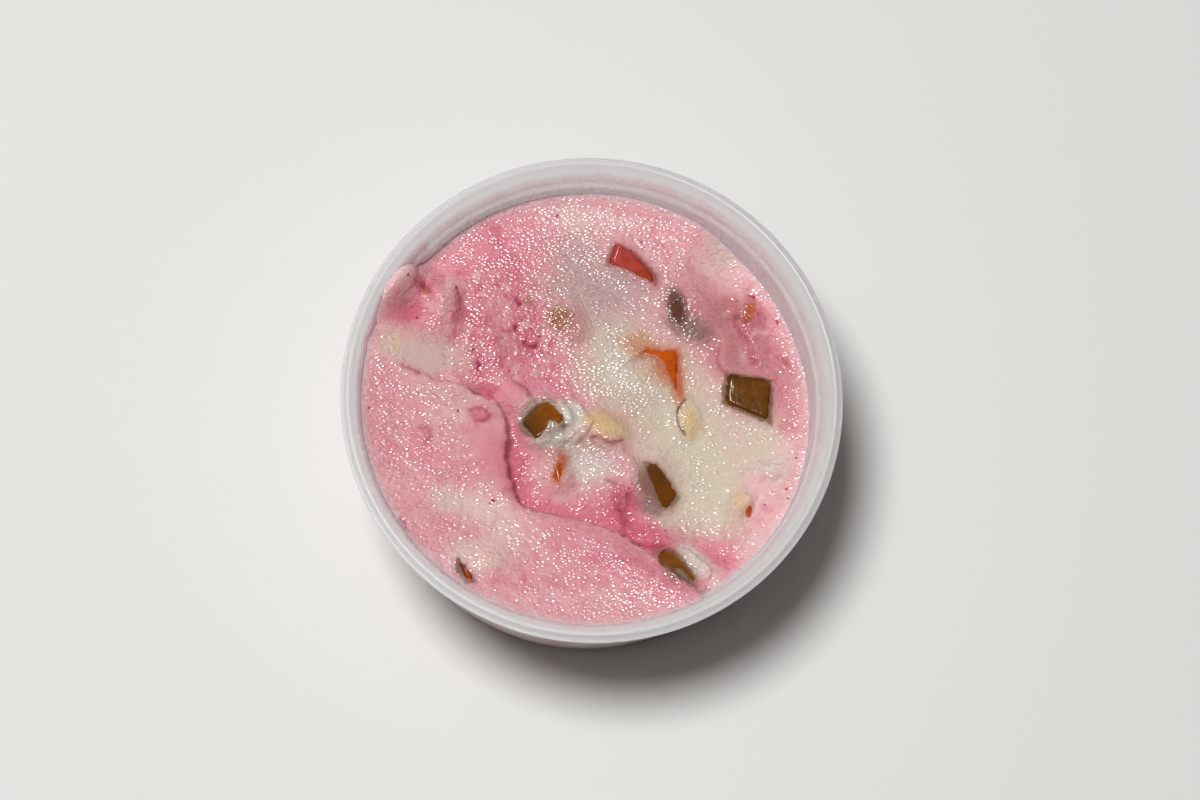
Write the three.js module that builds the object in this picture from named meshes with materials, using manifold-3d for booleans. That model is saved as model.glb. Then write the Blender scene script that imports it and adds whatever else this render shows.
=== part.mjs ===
// A round takeaway tub filled with pink and white shrikhand, with candied fruit dice and nuts in its top.
// Units are millimetres and +Z is up. The origin is the centre of the tub's base, on the table.
// The food is one solid up to its uneven top, cut round each piece of fruit and nut that shows.

import * as THREE from "three";
import { mergeVertices } from "three/addons/utils/BufferGeometryUtils.js";
import Module from "manifold-3d";

// Driving dimensions of the tub
const RIM_RADIUS = 50;
const TUB_HEIGHT = 44.4;
const BASE_RADIUS = 43;
const WALL = 0.7;
const SHOULDER_RADIUS = 45.7;
const SHOULDER_HEIGHT = 36.8;
const LEDGE_RADIUS = 46.3;
const LEDGE_HEIGHT = 39.3;
const MOUTH_RADIUS = 47.4;
const MOUTH_HEIGHT = 42.7;
const SKIRT_HEIGHT = 42.2;
const FLOOR_HEIGHT = 2;
const FOOT_HEIGHT = 1.1;
const FOOT_WIDTH = 2.2;
const TUB_SIDES = 60;

// Driving dimensions of the food
const GAP = 0.3;
const FOOD_BOTTOM = FLOOR_HEIGHT + GAP;
const PLAIN_LEVEL = 33.1;
const FALL_TO_RIGHT = 0.055;
const RISE_TO_BACK = 0.03;
const LOBE_LEVEL = 37.7;
const LOBE_RISE = 1.3;
const FOLD_WIDTH = 1;
const FOLD_REACH = 1.25;
const TRENCH_DEPTH = 1.3;
const TRENCH_WIDTH = 2.4;
const RIPPLE = 0.16;
const FOOD_RINGS = 21;

const radians = THREE.MathUtils.degToRad;
const smoothstep = THREE.MathUtils.smoothstep;
const lerp = THREE.MathUtils.lerp;

const wasm = await Module();
wasm.setup();

// A geometry as a manifold-3d solid.
function solidOf(geometry) {
  const bare = geometry.clone();
  bare.deleteAttribute("normal");
  bare.deleteAttribute("uv");
  const merged = mergeVertices(bare, 1e-4);
  return new wasm.Manifold(
    new wasm.Mesh({
      numProp: 3,
      vertProperties: merged.attributes.position.array,
      triVerts: new Uint32Array(merged.index.array),
    }),
  );
}

// A manifold-3d solid as a geometry.
function geometryOf(solid) {
  const mesh = solid.getMesh();
  const geometry = new THREE.BufferGeometry();
  const points = new Float32Array(mesh.vertProperties);
  geometry.setAttribute("position", new THREE.BufferAttribute(points, 3));
  geometry.setIndex(new THREE.BufferAttribute(new Uint32Array(mesh.triVerts), 1));
  geometry.computeVertexNormals();
  return geometry;
}

function material(color, roughness) {
  return new THREE.MeshStandardMaterial({ color, roughness, metalness: 0 });
}

const bowl = new THREE.Group();
bowl.name = "bowl_of_shrikhand";

function addPart(name, geometry, finish) {
  const mesh = new THREE.Mesh(geometry, finish);
  mesh.name = name;
  bowl.add(mesh);
  return mesh;
}

// Tub: thin translucent plastic turned round the axis, with a foot ring, a stacking shoulder and
// ledge under the rim, and a rolled lip whose skirt hangs open below.
const innerBase = BASE_RADIUS - WALL;
const tubProfile = [
  [0, FOOT_HEIGHT],
  [BASE_RADIUS - FOOT_WIDTH - 0.9, FOOT_HEIGHT],
  [BASE_RADIUS - FOOT_WIDTH, 0],
  [BASE_RADIUS - 0.8, 0],
  [BASE_RADIUS - 0.1, 0.6],
  [BASE_RADIUS, 1.4],
  [SHOULDER_RADIUS, SHOULDER_HEIGHT - 0.3],
  [LEDGE_RADIUS, LEDGE_HEIGHT - 0.2],
  [LEDGE_RADIUS + 0.9, SKIRT_HEIGHT - 0.9],
  [MOUTH_RADIUS + 0.9, MOUTH_HEIGHT + 0.2],
  [RIM_RADIUS - 1.3, TUB_HEIGHT - 0.75],
  [RIM_RADIUS - 0.7, SKIRT_HEIGHT],
  [RIM_RADIUS, SKIRT_HEIGHT],
  [RIM_RADIUS - 0.7, TUB_HEIGHT - 0.35],
  [RIM_RADIUS - 1.2, TUB_HEIGHT],
  [RIM_RADIUS - 1.7, TUB_HEIGHT - 0.15],
  [MOUTH_RADIUS, MOUTH_HEIGHT],
  [LEDGE_RADIUS - WALL + 0.5, LEDGE_HEIGHT + 1.3],
  [LEDGE_RADIUS - WALL, LEDGE_HEIGHT],
  [SHOULDER_RADIUS - WALL, SHOULDER_HEIGHT],
  [innerBase, FLOOR_HEIGHT + 1.4],
  [innerBase - 0.5, FLOOR_HEIGHT + 0.4],
  [innerBase - 1.6, FLOOR_HEIGHT],
  [0, FLOOR_HEIGHT],
].map(([r, z]) => new THREE.Vector2(r, z));

// A lathe turns about Y, so it is laid over until its axis is +Z.
const tubGeometry = new THREE.LatheGeometry(tubProfile, TUB_SIDES);
tubGeometry.rotateX(Math.PI / 2);
addPart("tub", tubGeometry, material(0xe4e2e0, 0.35));

// The tub's inner radius at a height, which the food's side follows.
function innerRadius(z) {
  const slope = (SHOULDER_RADIUS - WALL - innerBase) / (SHOULDER_HEIGHT - FLOOR_HEIGHT - 1.4);
  const below = innerBase + slope * (z - FLOOR_HEIGHT - 1.4);
  const lip = (LEDGE_RADIUS - SHOULDER_RADIUS) / (LEDGE_HEIGHT - SHOULDER_HEIGHT);
  const above = SHOULDER_RADIUS - WALL + lip * (z - SHOULDER_HEIGHT);
  return z < SHOULDER_HEIGHT ? below : above;
}

// Height at which the food meets the wall: [angle from +X in degrees, height].
const WALL_LEVELS = [
  [0, 30.4],
  [20, 30],
  [45, 30.6],
  [62, 33.8],
  [90, 34.4],
  [120, 34.4],
  [140, 33.6],
  [160, 38],
  [180, 39.8],
  [240, 38.4],
  [290, 35.7],
  [315, 32.2],
  [340, 31],
  [360, 30.4],
];

function wallLevel(angle) {
  const degrees = (THREE.MathUtils.radToDeg(angle) + 360) % 360;
  const next = WALL_LEVELS.findIndex(([stop]) => stop > degrees);
  const [from, low] = WALL_LEVELS[next - 1];
  const [to, high] = WALL_LEVELS[next];
  return lerp(low, high, smoothstep(degrees, from, to));
}

// Soft rises and hollows in the top. A hill falls away over its half-length along and its
// half-width across, and its length is turned from +X by the given degrees.
const HILLS = {
  backLeftRise: { x: -28.1, y: 11.9, along: 17, across: 12, turn: 60, rise: 1.5 },
  wallCurl: { x: -38.9, y: 24.1, along: 6, across: 2.6, turn: 55, rise: 3.6 },
  standingLump: { x: -29.3, y: 21.2, along: 5.4, across: 2.9, turn: 78, rise: 2.6 },
  curlHollow: { x: -37, y: 17.6, along: 4, across: 3, turn: 20, rise: -2.4 },
  curlHole: { x: -33.4, y: 23.1, along: 2.3, across: 1.5, turn: 50, rise: -2.6 },
  lumpCrease: { x: -25.3, y: 20.6, along: 3.6, across: 1.3, turn: 80, rise: -1.8 },
  backCrease: { x: -15.2, y: 21.4, along: 4.4, across: 1.6, turn: 100, rise: -1.7 },
  middleRidge: { x: -19.6, y: 12.9, along: 9, across: 2.4, turn: 110, rise: 0.7 },
  tornFlap: { x: -15.3, y: 1.2, along: 3.8, across: 2.6, turn: -40, rise: 2.2 },
  flapBay: { x: -20.5, y: 1.6, along: 2.6, across: 1.5, turn: -40, rise: -1.7 },
  diceCoat: { x: -6.4, y: -4, along: 7.2, across: 4.6, turn: -20, rise: 1.7 },
  raggedLump: { x: 6.4, y: -12.7, along: 6.4, across: 3.8, turn: -50, rise: 1.6 },
  lumpGully: { x: 8.4, y: -22.2, along: 4.2, across: 1.7, turn: -75, rise: -1.9 },
  wedgeBank: { x: 4.3, y: 25.4, along: 8, across: 3.4, turn: -25, rise: -0.7 },
  brownDiceBank: { x: 21.4, y: 21.4, along: 5, across: 4, turn: -45, rise: 1.1 },
  pinkBlock: { x: 27.5, y: 10.8, along: 4, across: 3, turn: 80, rise: 1.2 },
  sideStrap: { x: 34.1, y: 13.4, along: 6.5, across: 2, turn: 105, rise: 1 },
  frontRightRidge: { x: 32.9, y: -14.7, along: 5.2, across: 1.8, turn: 30, rise: 1.2 },
  frontRightLump: { x: 37.5, y: -18.1, along: 5.4, across: 3, turn: 60, rise: 1.6 },
  frontRightStep: { x: 29.2, y: -23.1, along: 4.5, across: 2.2, turn: 68, rise: 1.3 },
  lowerDiceCoat: { x: 21.1, y: -31.7, along: 6, across: 2.4, turn: -42, rise: 1.8 },
  rightBasin: { x: 20.9, y: -4, along: 15, across: 11, turn: 80, rise: -0.7 },
  lobeRidge: { x: 7.8, y: -34, along: 15, across: 3.2, turn: -30, rise: 0.8 },
  lobeHollow: { x: -21.1, y: -21.1, along: 8, across: 5, turn: -35, rise: -0.6 },
  lobeCrown: { x: -30.1, y: -10.1, along: 9, across: 6, turn: 80, rise: 0.6 },
};

function hillHeight({ x, y, along, across, turn, rise }, px, py) {
  const c = Math.cos(radians(turn));
  const s = Math.sin(radians(turn));
  const u = ((px - x) * c + (py - y) * s) / along;
  const v = ((py - y) * c - (px - x) * s) / across;
  return rise * Math.exp(-u * u - v * v);
}

// Edge of the thick lobe folded over from the left and front, from the left wall to the front right.
const foldCurve = new THREE.CatmullRomCurve3(
  [
    [-49.1, 11.4],
    [-41.4, 8],
    [-32.4, 3],
    [-22.8, 0.1],
    [-17.3, -4.5],
    [-16.1, -14.1],
    [-12.6, -21.7],
    [-2.1, -25.4],
    [7.8, -28.2],
    [14.8, -33.6],
    [22.5, -39],
    [30.9, -45],
  ].map(([x, y]) => new THREE.Vector3(x, y, 0)),
);
const foldPoints = foldCurve.getPoints(66);

// The fold's nearest edge point: the distance from it, positive on the lobe, and the way to it.
function nearestFold(x, y) {
  let nearest = { distance: Infinity, x: 0, y: 0 };
  for (let i = 1; i < foldPoints.length; i += 1) {
    const a = foldPoints[i - 1];
    const b = foldPoints[i];
    const dx = b.x - a.x;
    const dy = b.y - a.y;
    const along = ((x - a.x) * dx + (y - a.y) * dy) / (dx * dx + dy * dy);
    const t = THREE.MathUtils.clamp(along, 0, 1);
    const distance = Math.hypot(x - a.x - t * dx, y - a.y - t * dy);
    if (distance < Math.abs(nearest.distance)) {
      const side = dx * (y - a.y) - dy * (x - a.x) < 0 ? 1 : -1;
      const length = Math.hypot(dx, dy);
      nearest = { distance: side * distance, x: dy / length, y: -dx / length };
    }
  }
  return nearest;
}

// A point near the fold moves away from its edge, which leaves a clean steep step there.
function clearOfFold(x, y) {
  const fold = nearestFold(x, y);
  const away = Math.abs(fold.distance);
  if (away >= FOLD_REACH) return [x, y];
  const wanted = FOLD_WIDTH / 2 + away * (1 - FOLD_WIDTH / 2 / FOLD_REACH);
  const shift = Math.sign(fold.distance) * (wanted - away);
  return [x + shift * fold.x, y + shift * fold.y];
}

// The uneven top of the food.
function topHeight(x, y) {
  const reach = Math.hypot(x, y) / innerRadius(PLAIN_LEVEL);
  const plain = PLAIN_LEVEL - FALL_TO_RIGHT * x + RISE_TO_BACK * y;
  const edge = smoothstep(reach, 0.66, 1);
  let top = lerp(plain, wallLevel(Math.atan2(y, x)), edge);
  const fold = nearestFold(x, y).distance;
  const trench = Math.exp(-(((fold + TRENCH_WIDTH / 2) / TRENCH_WIDTH) ** 2));
  const steep = smoothstep(LOBE_LEVEL - top, 0.5, 3.5);
  const lobe = LOBE_LEVEL + LOBE_RISE * edge * edge;
  const onLobe = smoothstep(fold, -FOLD_WIDTH / 2, FOLD_WIDTH / 2);
  top = lerp(top - TRENCH_DEPTH * steep * trench, lobe, onLobe);
  for (const hill of Object.values(HILLS)) top += hillHeight(hill, x, y);
  return top + RIPPLE * (Math.sin(0.9 * x + 2.1) * Math.sin(0.8 * y) + Math.sin(0.5 * (x - y)));
}

// A disc of rings has one point in its middle, and each ring has six more than the one inside it.
// This is the number of a point, counted on from the start of one of the ring's six sectors.
function discPoint(ring, sector, step) {
  if (ring === 0) return 0;
  return 1 + 3 * ring * (ring - 1) + ((sector * ring + step) % (6 * ring));
}

// The food: its top is such a disc, and its side goes down the wall to a rounded corner and a flat
// bottom.
function foodGeometry() {
  const points = [new THREE.Vector3(0, 0, topHeight(0, 0))];
  const faces = [];
  const wallRadius = innerRadius(PLAIN_LEVEL);
  const sides = 6 * FOOD_RINGS;
  for (let ring = 1; ring <= FOOD_RINGS; ring += 1) {
    for (let side = 0; side < 6 * ring; side += 1) {
      const angle = (Math.PI * side) / (3 * ring);
      const c = Math.cos(angle);
      const s = Math.sin(angle);
      const reach = innerRadius(topHeight(wallRadius * c, wallRadius * s)) - GAP;
      let x = (reach * c * ring) / FOOD_RINGS;
      let y = (reach * s * ring) / FOOD_RINGS;
      if (ring < FOOD_RINGS - 1) [x, y] = clearOfFold(x, y);
      points.push(new THREE.Vector3(x, y, topHeight(x, y)));
    }
  }
  for (let ring = 1; ring <= FOOD_RINGS; ring += 1) {
    for (let sector = 0; sector < 6; sector += 1) {
      for (let i = 0; i < ring; i += 1) {
        faces.push(discPoint(ring - 1, sector, i), discPoint(ring, sector, i));
        faces.push(discPoint(ring, sector, i + 1));
        if (i === ring - 1) continue;
        faces.push(discPoint(ring - 1, sector, i), discPoint(ring, sector, i + 1));
        faces.push(discPoint(ring - 1, sector, i + 1));
      }
    }
  }
  const rim = discPoint(FOOD_RINGS, 0, 0);
  const sideRings = [
    (top) => Math.min(SHOULDER_HEIGHT, top - 0.6),
    () => FOOD_BOTTOM + 1.5,
    () => FOOD_BOTTOM,
  ];
  sideRings.forEach((heightBelow, step) => {
    for (let side = 0; side < sides; side += 1) {
      const top = points[rim + side];
      const height = heightBelow(top.z);
      const radius = innerRadius(height) - GAP - (step === 2 ? 1.8 : 0);
      const scale = radius / Math.hypot(top.x, top.y);
      points.push(new THREE.Vector3(top.x * scale, top.y * scale, height));
    }
    for (let side = 0; side < sides; side += 1) {
      const above = rim + step * sides;
      const next = (side + 1) % sides;
      faces.push(above + side, above + sides + side, above + sides + next);
      faces.push(above + side, above + sides + next, above + next);
    }
  });
  points.push(new THREE.Vector3(0, 0, FOOD_BOTTOM));
  const lowest = rim + sideRings.length * sides;
  for (let side = 0; side < sides; side += 1) {
    faces.push(points.length - 1, lowest + ((side + 1) % sides), lowest + side);
  }
  const geometry = new THREE.BufferGeometry().setFromPoints(points);
  geometry.setIndex(faces);
  return geometry;
}

// A cut die of candied fruit: an outline with softened edges, grown by a margin for its socket.
function dieGeometry(outline, depth, margin) {
  const soft = 0.6;
  const corners = outline.map(([x, y]) => new THREE.Vector2(x, y));
  const shape = new THREE.Shape();
  corners.forEach((corner, i) => {
    const before = corners[(i + corners.length - 1) % corners.length];
    const after = corners[(i + 1) % corners.length];
    const start = corner.clone().lerp(before, soft / corner.distanceTo(before));
    const end = corner.clone().lerp(after, soft / corner.distanceTo(after));
    if (i === 0) shape.moveTo(start.x, start.y);
    else shape.lineTo(start.x, start.y);
    shape.lineTo(end.x, end.y);
  });
  const geometry = new THREE.ExtrudeGeometry(shape, {
    depth: depth - 2 * soft + 2 * margin,
    bevelThickness: soft,
    bevelSize: soft,
    bevelOffset: margin - soft,
    bevelSegments: 1,
    steps: 1,
  });
  return geometry.translate(0, 0, soft - depth / 2 - margin);
}

// A nut or a flake of one: a ball pressed to three half-lengths.
function nutGeometry(half, margin) {
  const geometry = new THREE.SphereGeometry(1, 10, 7);
  geometry.rotateX(Math.PI / 2);
  return geometry.scale(half[0] + margin, half[1] + margin, half[2] + margin);
}

// Pieces that show in the top: where each one's middle lies, its turns about X, Y and Z in
// degrees, and its outline and depth or its half-lengths.
const FRUIT = {
  green_die_right: {
    outline: [[-4.3, 4.3], [-5, -1.4], [3.6, -5], [4.4, 3.2]],
    depth: 7,
    place: [32.6, 3.5, 28.8],
    turn: [4, -3, 0],
    color: 0x6b4c12,
  },
  green_die_centre: {
    outline: [[-4.4, 4.2], [-4.2, -4.4], [4.4, -4], [4, 4.5]],
    depth: 7.6,
    place: [12.8, -15.7, 29.1],
    turn: [0, 24, -38],
    color: 0x6e4f14,
  },
  green_die_coated: {
    outline: [[-4.2, 3.6], [-3.8, -4], [4, -3.6], [3.8, 4]],
    depth: 7.4,
    place: [-9.1, -3, 31.6],
    turn: [-14, -16, 34],
    color: 0x6a4510,
  },
  green_die_lower: {
    outline: [[-5, 2.6], [-4.8, -2.7], [4.7, -2.8], [4.9, 2.6]],
    depth: 6.6,
    place: [17.5, -33.8, 30.8],
    turn: [-20, 0, -42],
    color: 0x75581c,
  },
  brown_die: {
    outline: [[-4, 4.2], [-4.2, -4], [4.2, -4], [3.9, 3.8]],
    depth: 7,
    place: [20.2, 20.3, 30],
    turn: [10, 8, -46],
    color: 0x4f3a30,
  },
  red_die: {
    outline: [[-5.6, 2.6], [-4.4, -2.4], [5.8, -1.3], [4.6, 1.2]],
    depth: 5,
    place: [8.7, 30.3, 31.8],
    turn: [10, 0, -36],
    color: 0x9c2c26,
  },
  orange_die: {
    outline: [[-5.8, 4.4], [-5.4, -4.2], [4.6, -5], [5, 4]],
    depth: 6.8,
    place: [12.7, 9.1, 28.9],
    turn: [4, 6, 2],
    color: 0xc4520a,
  },
  tan_die: {
    outline: [[-3.6, 3.4], [-3.4, -3.6], [3.6, -3.2], [3.4, 3.4]],
    depth: 6,
    place: [-5.4, 17.7, 31.2],
    turn: [6, -6, 20],
    color: 0xaf6e4e,
  },
  orange_die_buried: {
    outline: [[-3.4, 3.2], [-3, -3.8], [3.4, -3.2], [3.2, 3.6]],
    depth: 6,
    place: [-7.8, -13, 30.7],
    turn: [12, -26, 14],
    color: 0xb8520f,
  },
  orange_chip: {
    outline: [[-2, 1.7], [-1.9, -1.6], [2.1, -1.3], [1.7, 1.9]],
    depth: 3.6,
    place: [32.9, 21.2, 30.7],
    turn: [0, 0, 50],
    color: 0xb06a2c,
  },
};

const NUTS = {
  almond_flake: { half: [4.1, 2, 2.2], place: [19.4, -1.5, 30.3], turn: [0, 0, 82], color: 0xcfae77 },
  pale_nut: { half: [4.6, 2.9, 2.8], place: [2.9, -4.8, 32.2], turn: [0, 6, -30], color: 0xdcc88e },
  wall_nut: { half: [1.9, 1.3, 1.7], place: [24.4, -34.2, 31.6], turn: [0, 0, 36], color: 0xa88f7e },
  small_nut: { half: [2, 1.5, 1.6], place: [30.2, -19.4, 32.1], turn: [0, 0, 50], color: 0xe3cc95 },
  beige_nut: { half: [3, 2.1, 1.9], place: [-20.5, -33, 37.6], turn: [0, 0, 24], color: 0xd2bda0 },
  skin_sliver: { half: [2.5, 0.9, 1.6], place: [-24.7, -35.1, 37.9], turn: [0, 0, -62], color: 0x5a2620 },
  left_nut: { half: [2.6, 1.8, 1.8], place: [-39.1, 10.6, 36.8], turn: [0, 0, 74], color: 0xd9cfa5 },
};

// Each piece is placed in its turned position, and the food is cut back a little from it.
const placed = new THREE.Object3D();

function settle(geometry, { place, turn }) {
  placed.position.set(...place);
  placed.rotation.set(radians(turn[0]), radians(turn[1]), radians(turn[2]));
  placed.updateMatrix();
  return geometry.applyMatrix4(placed.matrix);
}

let food = solidOf(foodGeometry());

for (const [name, die] of Object.entries(FRUIT)) {
  addPart(name, settle(dieGeometry(die.outline, die.depth, 0), die), material(die.color, 0.25));
  food = food.subtract(solidOf(settle(dieGeometry(die.outline, die.depth, GAP), die)));
}

for (const [name, nut] of Object.entries(NUTS)) {
  addPart(name, settle(nutGeometry(nut.half, 0), nut), material(nut.color, 0.45));
  food = food.subtract(solidOf(settle(nutGeometry(nut.half, GAP), nut)));
}

// Slips of food that a socket cuts loose are dropped.
const foodBodies = food.decompose().sort((a, b) => b.volume() - a.volume());
addPart("shrikhand", geometryOf(foodBodies[0]), material(0xe3b2b8, 0.4));

export default bowl;
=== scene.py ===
"""A round takeaway tub of pink and white shrikhand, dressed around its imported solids.

Shapes are worked out in millimetres and made in metres. The origin is the centre of the tub's base
on the table, +Z is up, and the thick folded lobe of food lies at -X and -Y.
"""

import math

import bpy
import numpy as np
from mathutils import Matrix, Vector
from mathutils.bvhtree import BVHTree


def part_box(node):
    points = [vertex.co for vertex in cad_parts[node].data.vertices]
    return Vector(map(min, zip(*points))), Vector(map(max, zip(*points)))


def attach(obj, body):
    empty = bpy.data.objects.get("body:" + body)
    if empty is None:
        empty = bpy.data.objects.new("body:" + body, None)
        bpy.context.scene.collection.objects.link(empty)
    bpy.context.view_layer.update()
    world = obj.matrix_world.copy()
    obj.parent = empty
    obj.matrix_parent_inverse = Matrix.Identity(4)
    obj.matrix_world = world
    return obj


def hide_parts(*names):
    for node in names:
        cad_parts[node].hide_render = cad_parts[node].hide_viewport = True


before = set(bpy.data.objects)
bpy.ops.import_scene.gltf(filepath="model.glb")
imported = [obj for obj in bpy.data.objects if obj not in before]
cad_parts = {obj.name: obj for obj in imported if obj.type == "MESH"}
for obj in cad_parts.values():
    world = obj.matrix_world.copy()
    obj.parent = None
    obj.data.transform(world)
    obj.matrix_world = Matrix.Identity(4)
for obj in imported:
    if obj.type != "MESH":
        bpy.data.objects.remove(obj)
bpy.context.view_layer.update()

# ---- Tub ---------------------------------------------------------------------------------------
# The tub is thin translucent polypropylene, moulded in one piece: a tapered wall on a foot ring, a
# stacking shoulder and a ledge, and a rolled lip whose skirt hangs open below.
MM = 0.001
TUB_SIDES = 192
TUB_TOP_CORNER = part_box("tub")[1]
RIM_RADIUS = TUB_TOP_CORNER.x / MM
TUB_HEIGHT = TUB_TOP_CORNER.z / MM
BASE_RADIUS = 43
WALL = 0.7
FLOOR_HEIGHT = 2
SHOULDER_RADIUS, SHOULDER_HEIGHT = 45.7, 36.8
LEDGE_RADIUS, LEDGE_HEIGHT = 46.3, 39.3
MOUTH_RADIUS, MOUTH_HEIGHT = 47.4, 42.7
SKIRT_HEIGHT = 42.2
CORNER_CUT = 0.3
TUB_SHARP = math.radians(40)
# The tub's cut from the axis out under the foot, up the outside, over the lip and down the inside
# to the middle of the floor: radius, height.
TUB_OUTLINE = [
    (BASE_RADIUS - 3.1, 1.1),
    (BASE_RADIUS - 2.2, 0),
    (BASE_RADIUS - 0.8, 0),
    (BASE_RADIUS - 0.1, 0.6),
    (BASE_RADIUS, 1.4),
    (SHOULDER_RADIUS, SHOULDER_HEIGHT - 0.3),
    (LEDGE_RADIUS, LEDGE_HEIGHT - 0.2),
    (LEDGE_RADIUS + 0.9, SKIRT_HEIGHT - 0.9),
    (MOUTH_RADIUS + 0.9, MOUTH_HEIGHT + 0.2),
    (RIM_RADIUS - 1.3, TUB_HEIGHT - 0.75),
    (RIM_RADIUS - 0.7, SKIRT_HEIGHT),
    (RIM_RADIUS, SKIRT_HEIGHT),
    (RIM_RADIUS, SKIRT_HEIGHT + 0.8),
    (RIM_RADIUS - 0.2, SKIRT_HEIGHT + 1),
    (RIM_RADIUS - 0.35, SKIRT_HEIGHT + 0.8),
    (RIM_RADIUS - 1.05, SKIRT_HEIGHT + 1.35),
    (RIM_RADIUS - 1.15, TUB_HEIGHT - 0.25),
    (RIM_RADIUS - 1.3, TUB_HEIGHT),
    (RIM_RADIUS - 1.9, TUB_HEIGHT - 0.1),
    (MOUTH_RADIUS, MOUTH_HEIGHT),
    (LEDGE_RADIUS - WALL + 0.5, LEDGE_HEIGHT + 1.3),
    (LEDGE_RADIUS - WALL + 0.3, LEDGE_HEIGHT),
    (LEDGE_RADIUS - WALL - 0.45, LEDGE_HEIGHT - 0.35),
    (SHOULDER_RADIUS - WALL, SHOULDER_HEIGHT),
    (BASE_RADIUS - WALL, FLOOR_HEIGHT + 1.4),
    (BASE_RADIUS - WALL - 0.5, FLOOR_HEIGHT + 0.4),
    (BASE_RADIUS - WALL - 1.6, FLOOR_HEIGHT),
    (1, FLOOR_HEIGHT),
]


def nothing_selected():
    if bpy.context.object and bpy.context.object.mode != "OBJECT":
        bpy.ops.object.mode_set(mode="OBJECT")
    bpy.ops.object.select_all(action="DESELECT")


def apply_modifiers(piece):
    nothing_selected()
    bpy.context.view_layer.objects.active = piece
    piece.select_set(True)
    for modifier in list(piece.modifiers):
        bpy.ops.object.modifier_apply(modifier=modifier.name)


def points_of(piece):
    """The vertices of a mesh in millimetres, as rows of three numbers."""
    points = np.empty(3 * len(piece.data.vertices))
    piece.data.vertices.foreach_get("co", points)
    return points.reshape(-1, 3) / MM


def add_node(tree, kind, **values):
    """A shader node whose sockets are set by name, with _ for a space."""
    node = tree.nodes.new("ShaderNode" + kind)
    for socket, value in values.items():
        node.inputs[socket.replace("_", " ")].default_value = value
    return node


def add_mix(tree, one, other):
    """A node that mixes two colours."""
    node = tree.nodes.new("ShaderNodeMix")
    node.data_type = "RGBA"
    node.inputs["A"].default_value = (*one, 1)
    node.inputs["B"].default_value = (*other, 1)
    return node


def link(source, output, target, socket):
    source.id_data.links.new(source.outputs[output], target.inputs[socket])


def turn_faces_out():
    bpy.ops.mesh.select_all(action="SELECT")
    bpy.ops.mesh.normals_make_consistent(inside=False)
    bpy.ops.object.mode_set(mode="OBJECT")


def new_material(name, **values):
    """A material, its node tree and its shader, whose sockets are set by name."""
    made = bpy.data.materials.new(name)
    made.use_nodes = True
    shader = made.node_tree.nodes["Principled BSDF"]
    for socket, value in values.items():
        shader.inputs[socket.replace("_", " ")].default_value = value
    return made, made.node_tree, shader


def finish_piece(piece, name, material, slot, *nodes):
    piece.name = name
    piece.data.name = name
    piece.data.materials.clear()
    piece.data.materials.append(material)
    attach(piece, "root")
    if nodes:
        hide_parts(*nodes)


def rounded(outline, reach):
    """An outline with each corner cut back and eased by three points."""
    points = [np.array(outline[0], float)]
    for before, corner, after in zip(outline, outline[1:], outline[2:]):
        before, corner, after = np.array(before), np.array(corner), np.array(after)
        back, on = before - corner, after - corner
        back = back / np.hypot(*back) * min(reach, np.hypot(*back) / 3)
        on = on / np.hypot(*on) * min(reach, np.hypot(*on) / 3)
        points += [corner + back, corner + (back + on) / 4, corner + on]
    return [*points, np.array(outline[-1], float)]


tub_rings = rounded(TUB_OUTLINE, CORNER_CUT)
nothing_selected()
start_radius, start_height = tub_rings[0]
bpy.ops.mesh.primitive_circle_add(
    vertices=TUB_SIDES,
    radius=start_radius * MM,
    fill_type="TRIFAN",
    location=(0, 0, start_height * MM),
)
tub = bpy.context.object
bpy.ops.object.transform_apply(location=True, rotation=True, scale=True)
bpy.ops.object.mode_set(mode="EDIT")
bpy.ops.mesh.select_mode(type="EDGE")
bpy.ops.mesh.select_all(action="DESELECT")
bpy.ops.mesh.select_non_manifold()
for (radius, height), (next_radius, next_height) in zip(tub_rings, tub_rings[1:]):
    rise = (0, 0, (next_height - height) * MM)
    bpy.ops.mesh.extrude_region_move(TRANSFORM_OT_translate={"value": rise})
    grow = next_radius / radius
    bpy.ops.transform.resize(value=(grow, grow, 1), center_override=(0, 0, next_height * MM))
bpy.ops.mesh.merge(type="CENTER")
turn_faces_out()
bpy.ops.object.shade_smooth_by_angle(angle=TUB_SHARP)

tub_plastic, tree, plastic = new_material(
    "tub_plastic",
    Base_Color=(0.99, 0.99, 0.985, 1),
    IOR=1.49,
    Subsurface_Weight=1,
    Subsurface_Radius=(1, 1, 1),
    Subsurface_Scale=10 * MM,
)
place = add_node(tree, "TexCoord")
cloud = add_node(tree, "TexNoise", Scale=160, Detail=3)
haze = add_node(tree, "MapRange", To_Min=0.3, To_Max=0.42)
link(place, "Object", cloud, "Vector")
link(cloud, "Fac", haze, "Value")
link(haze, "Result", plastic, "Roughness")
finish_piece(tub, "tub_wall", tub_plastic, "tub_plastic", "tub")

# On the outside, below the skirt, the pink and white food shows dimly through the same plastic.
BACKED_TOP = SKIRT_HEIGHT - 1
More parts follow.
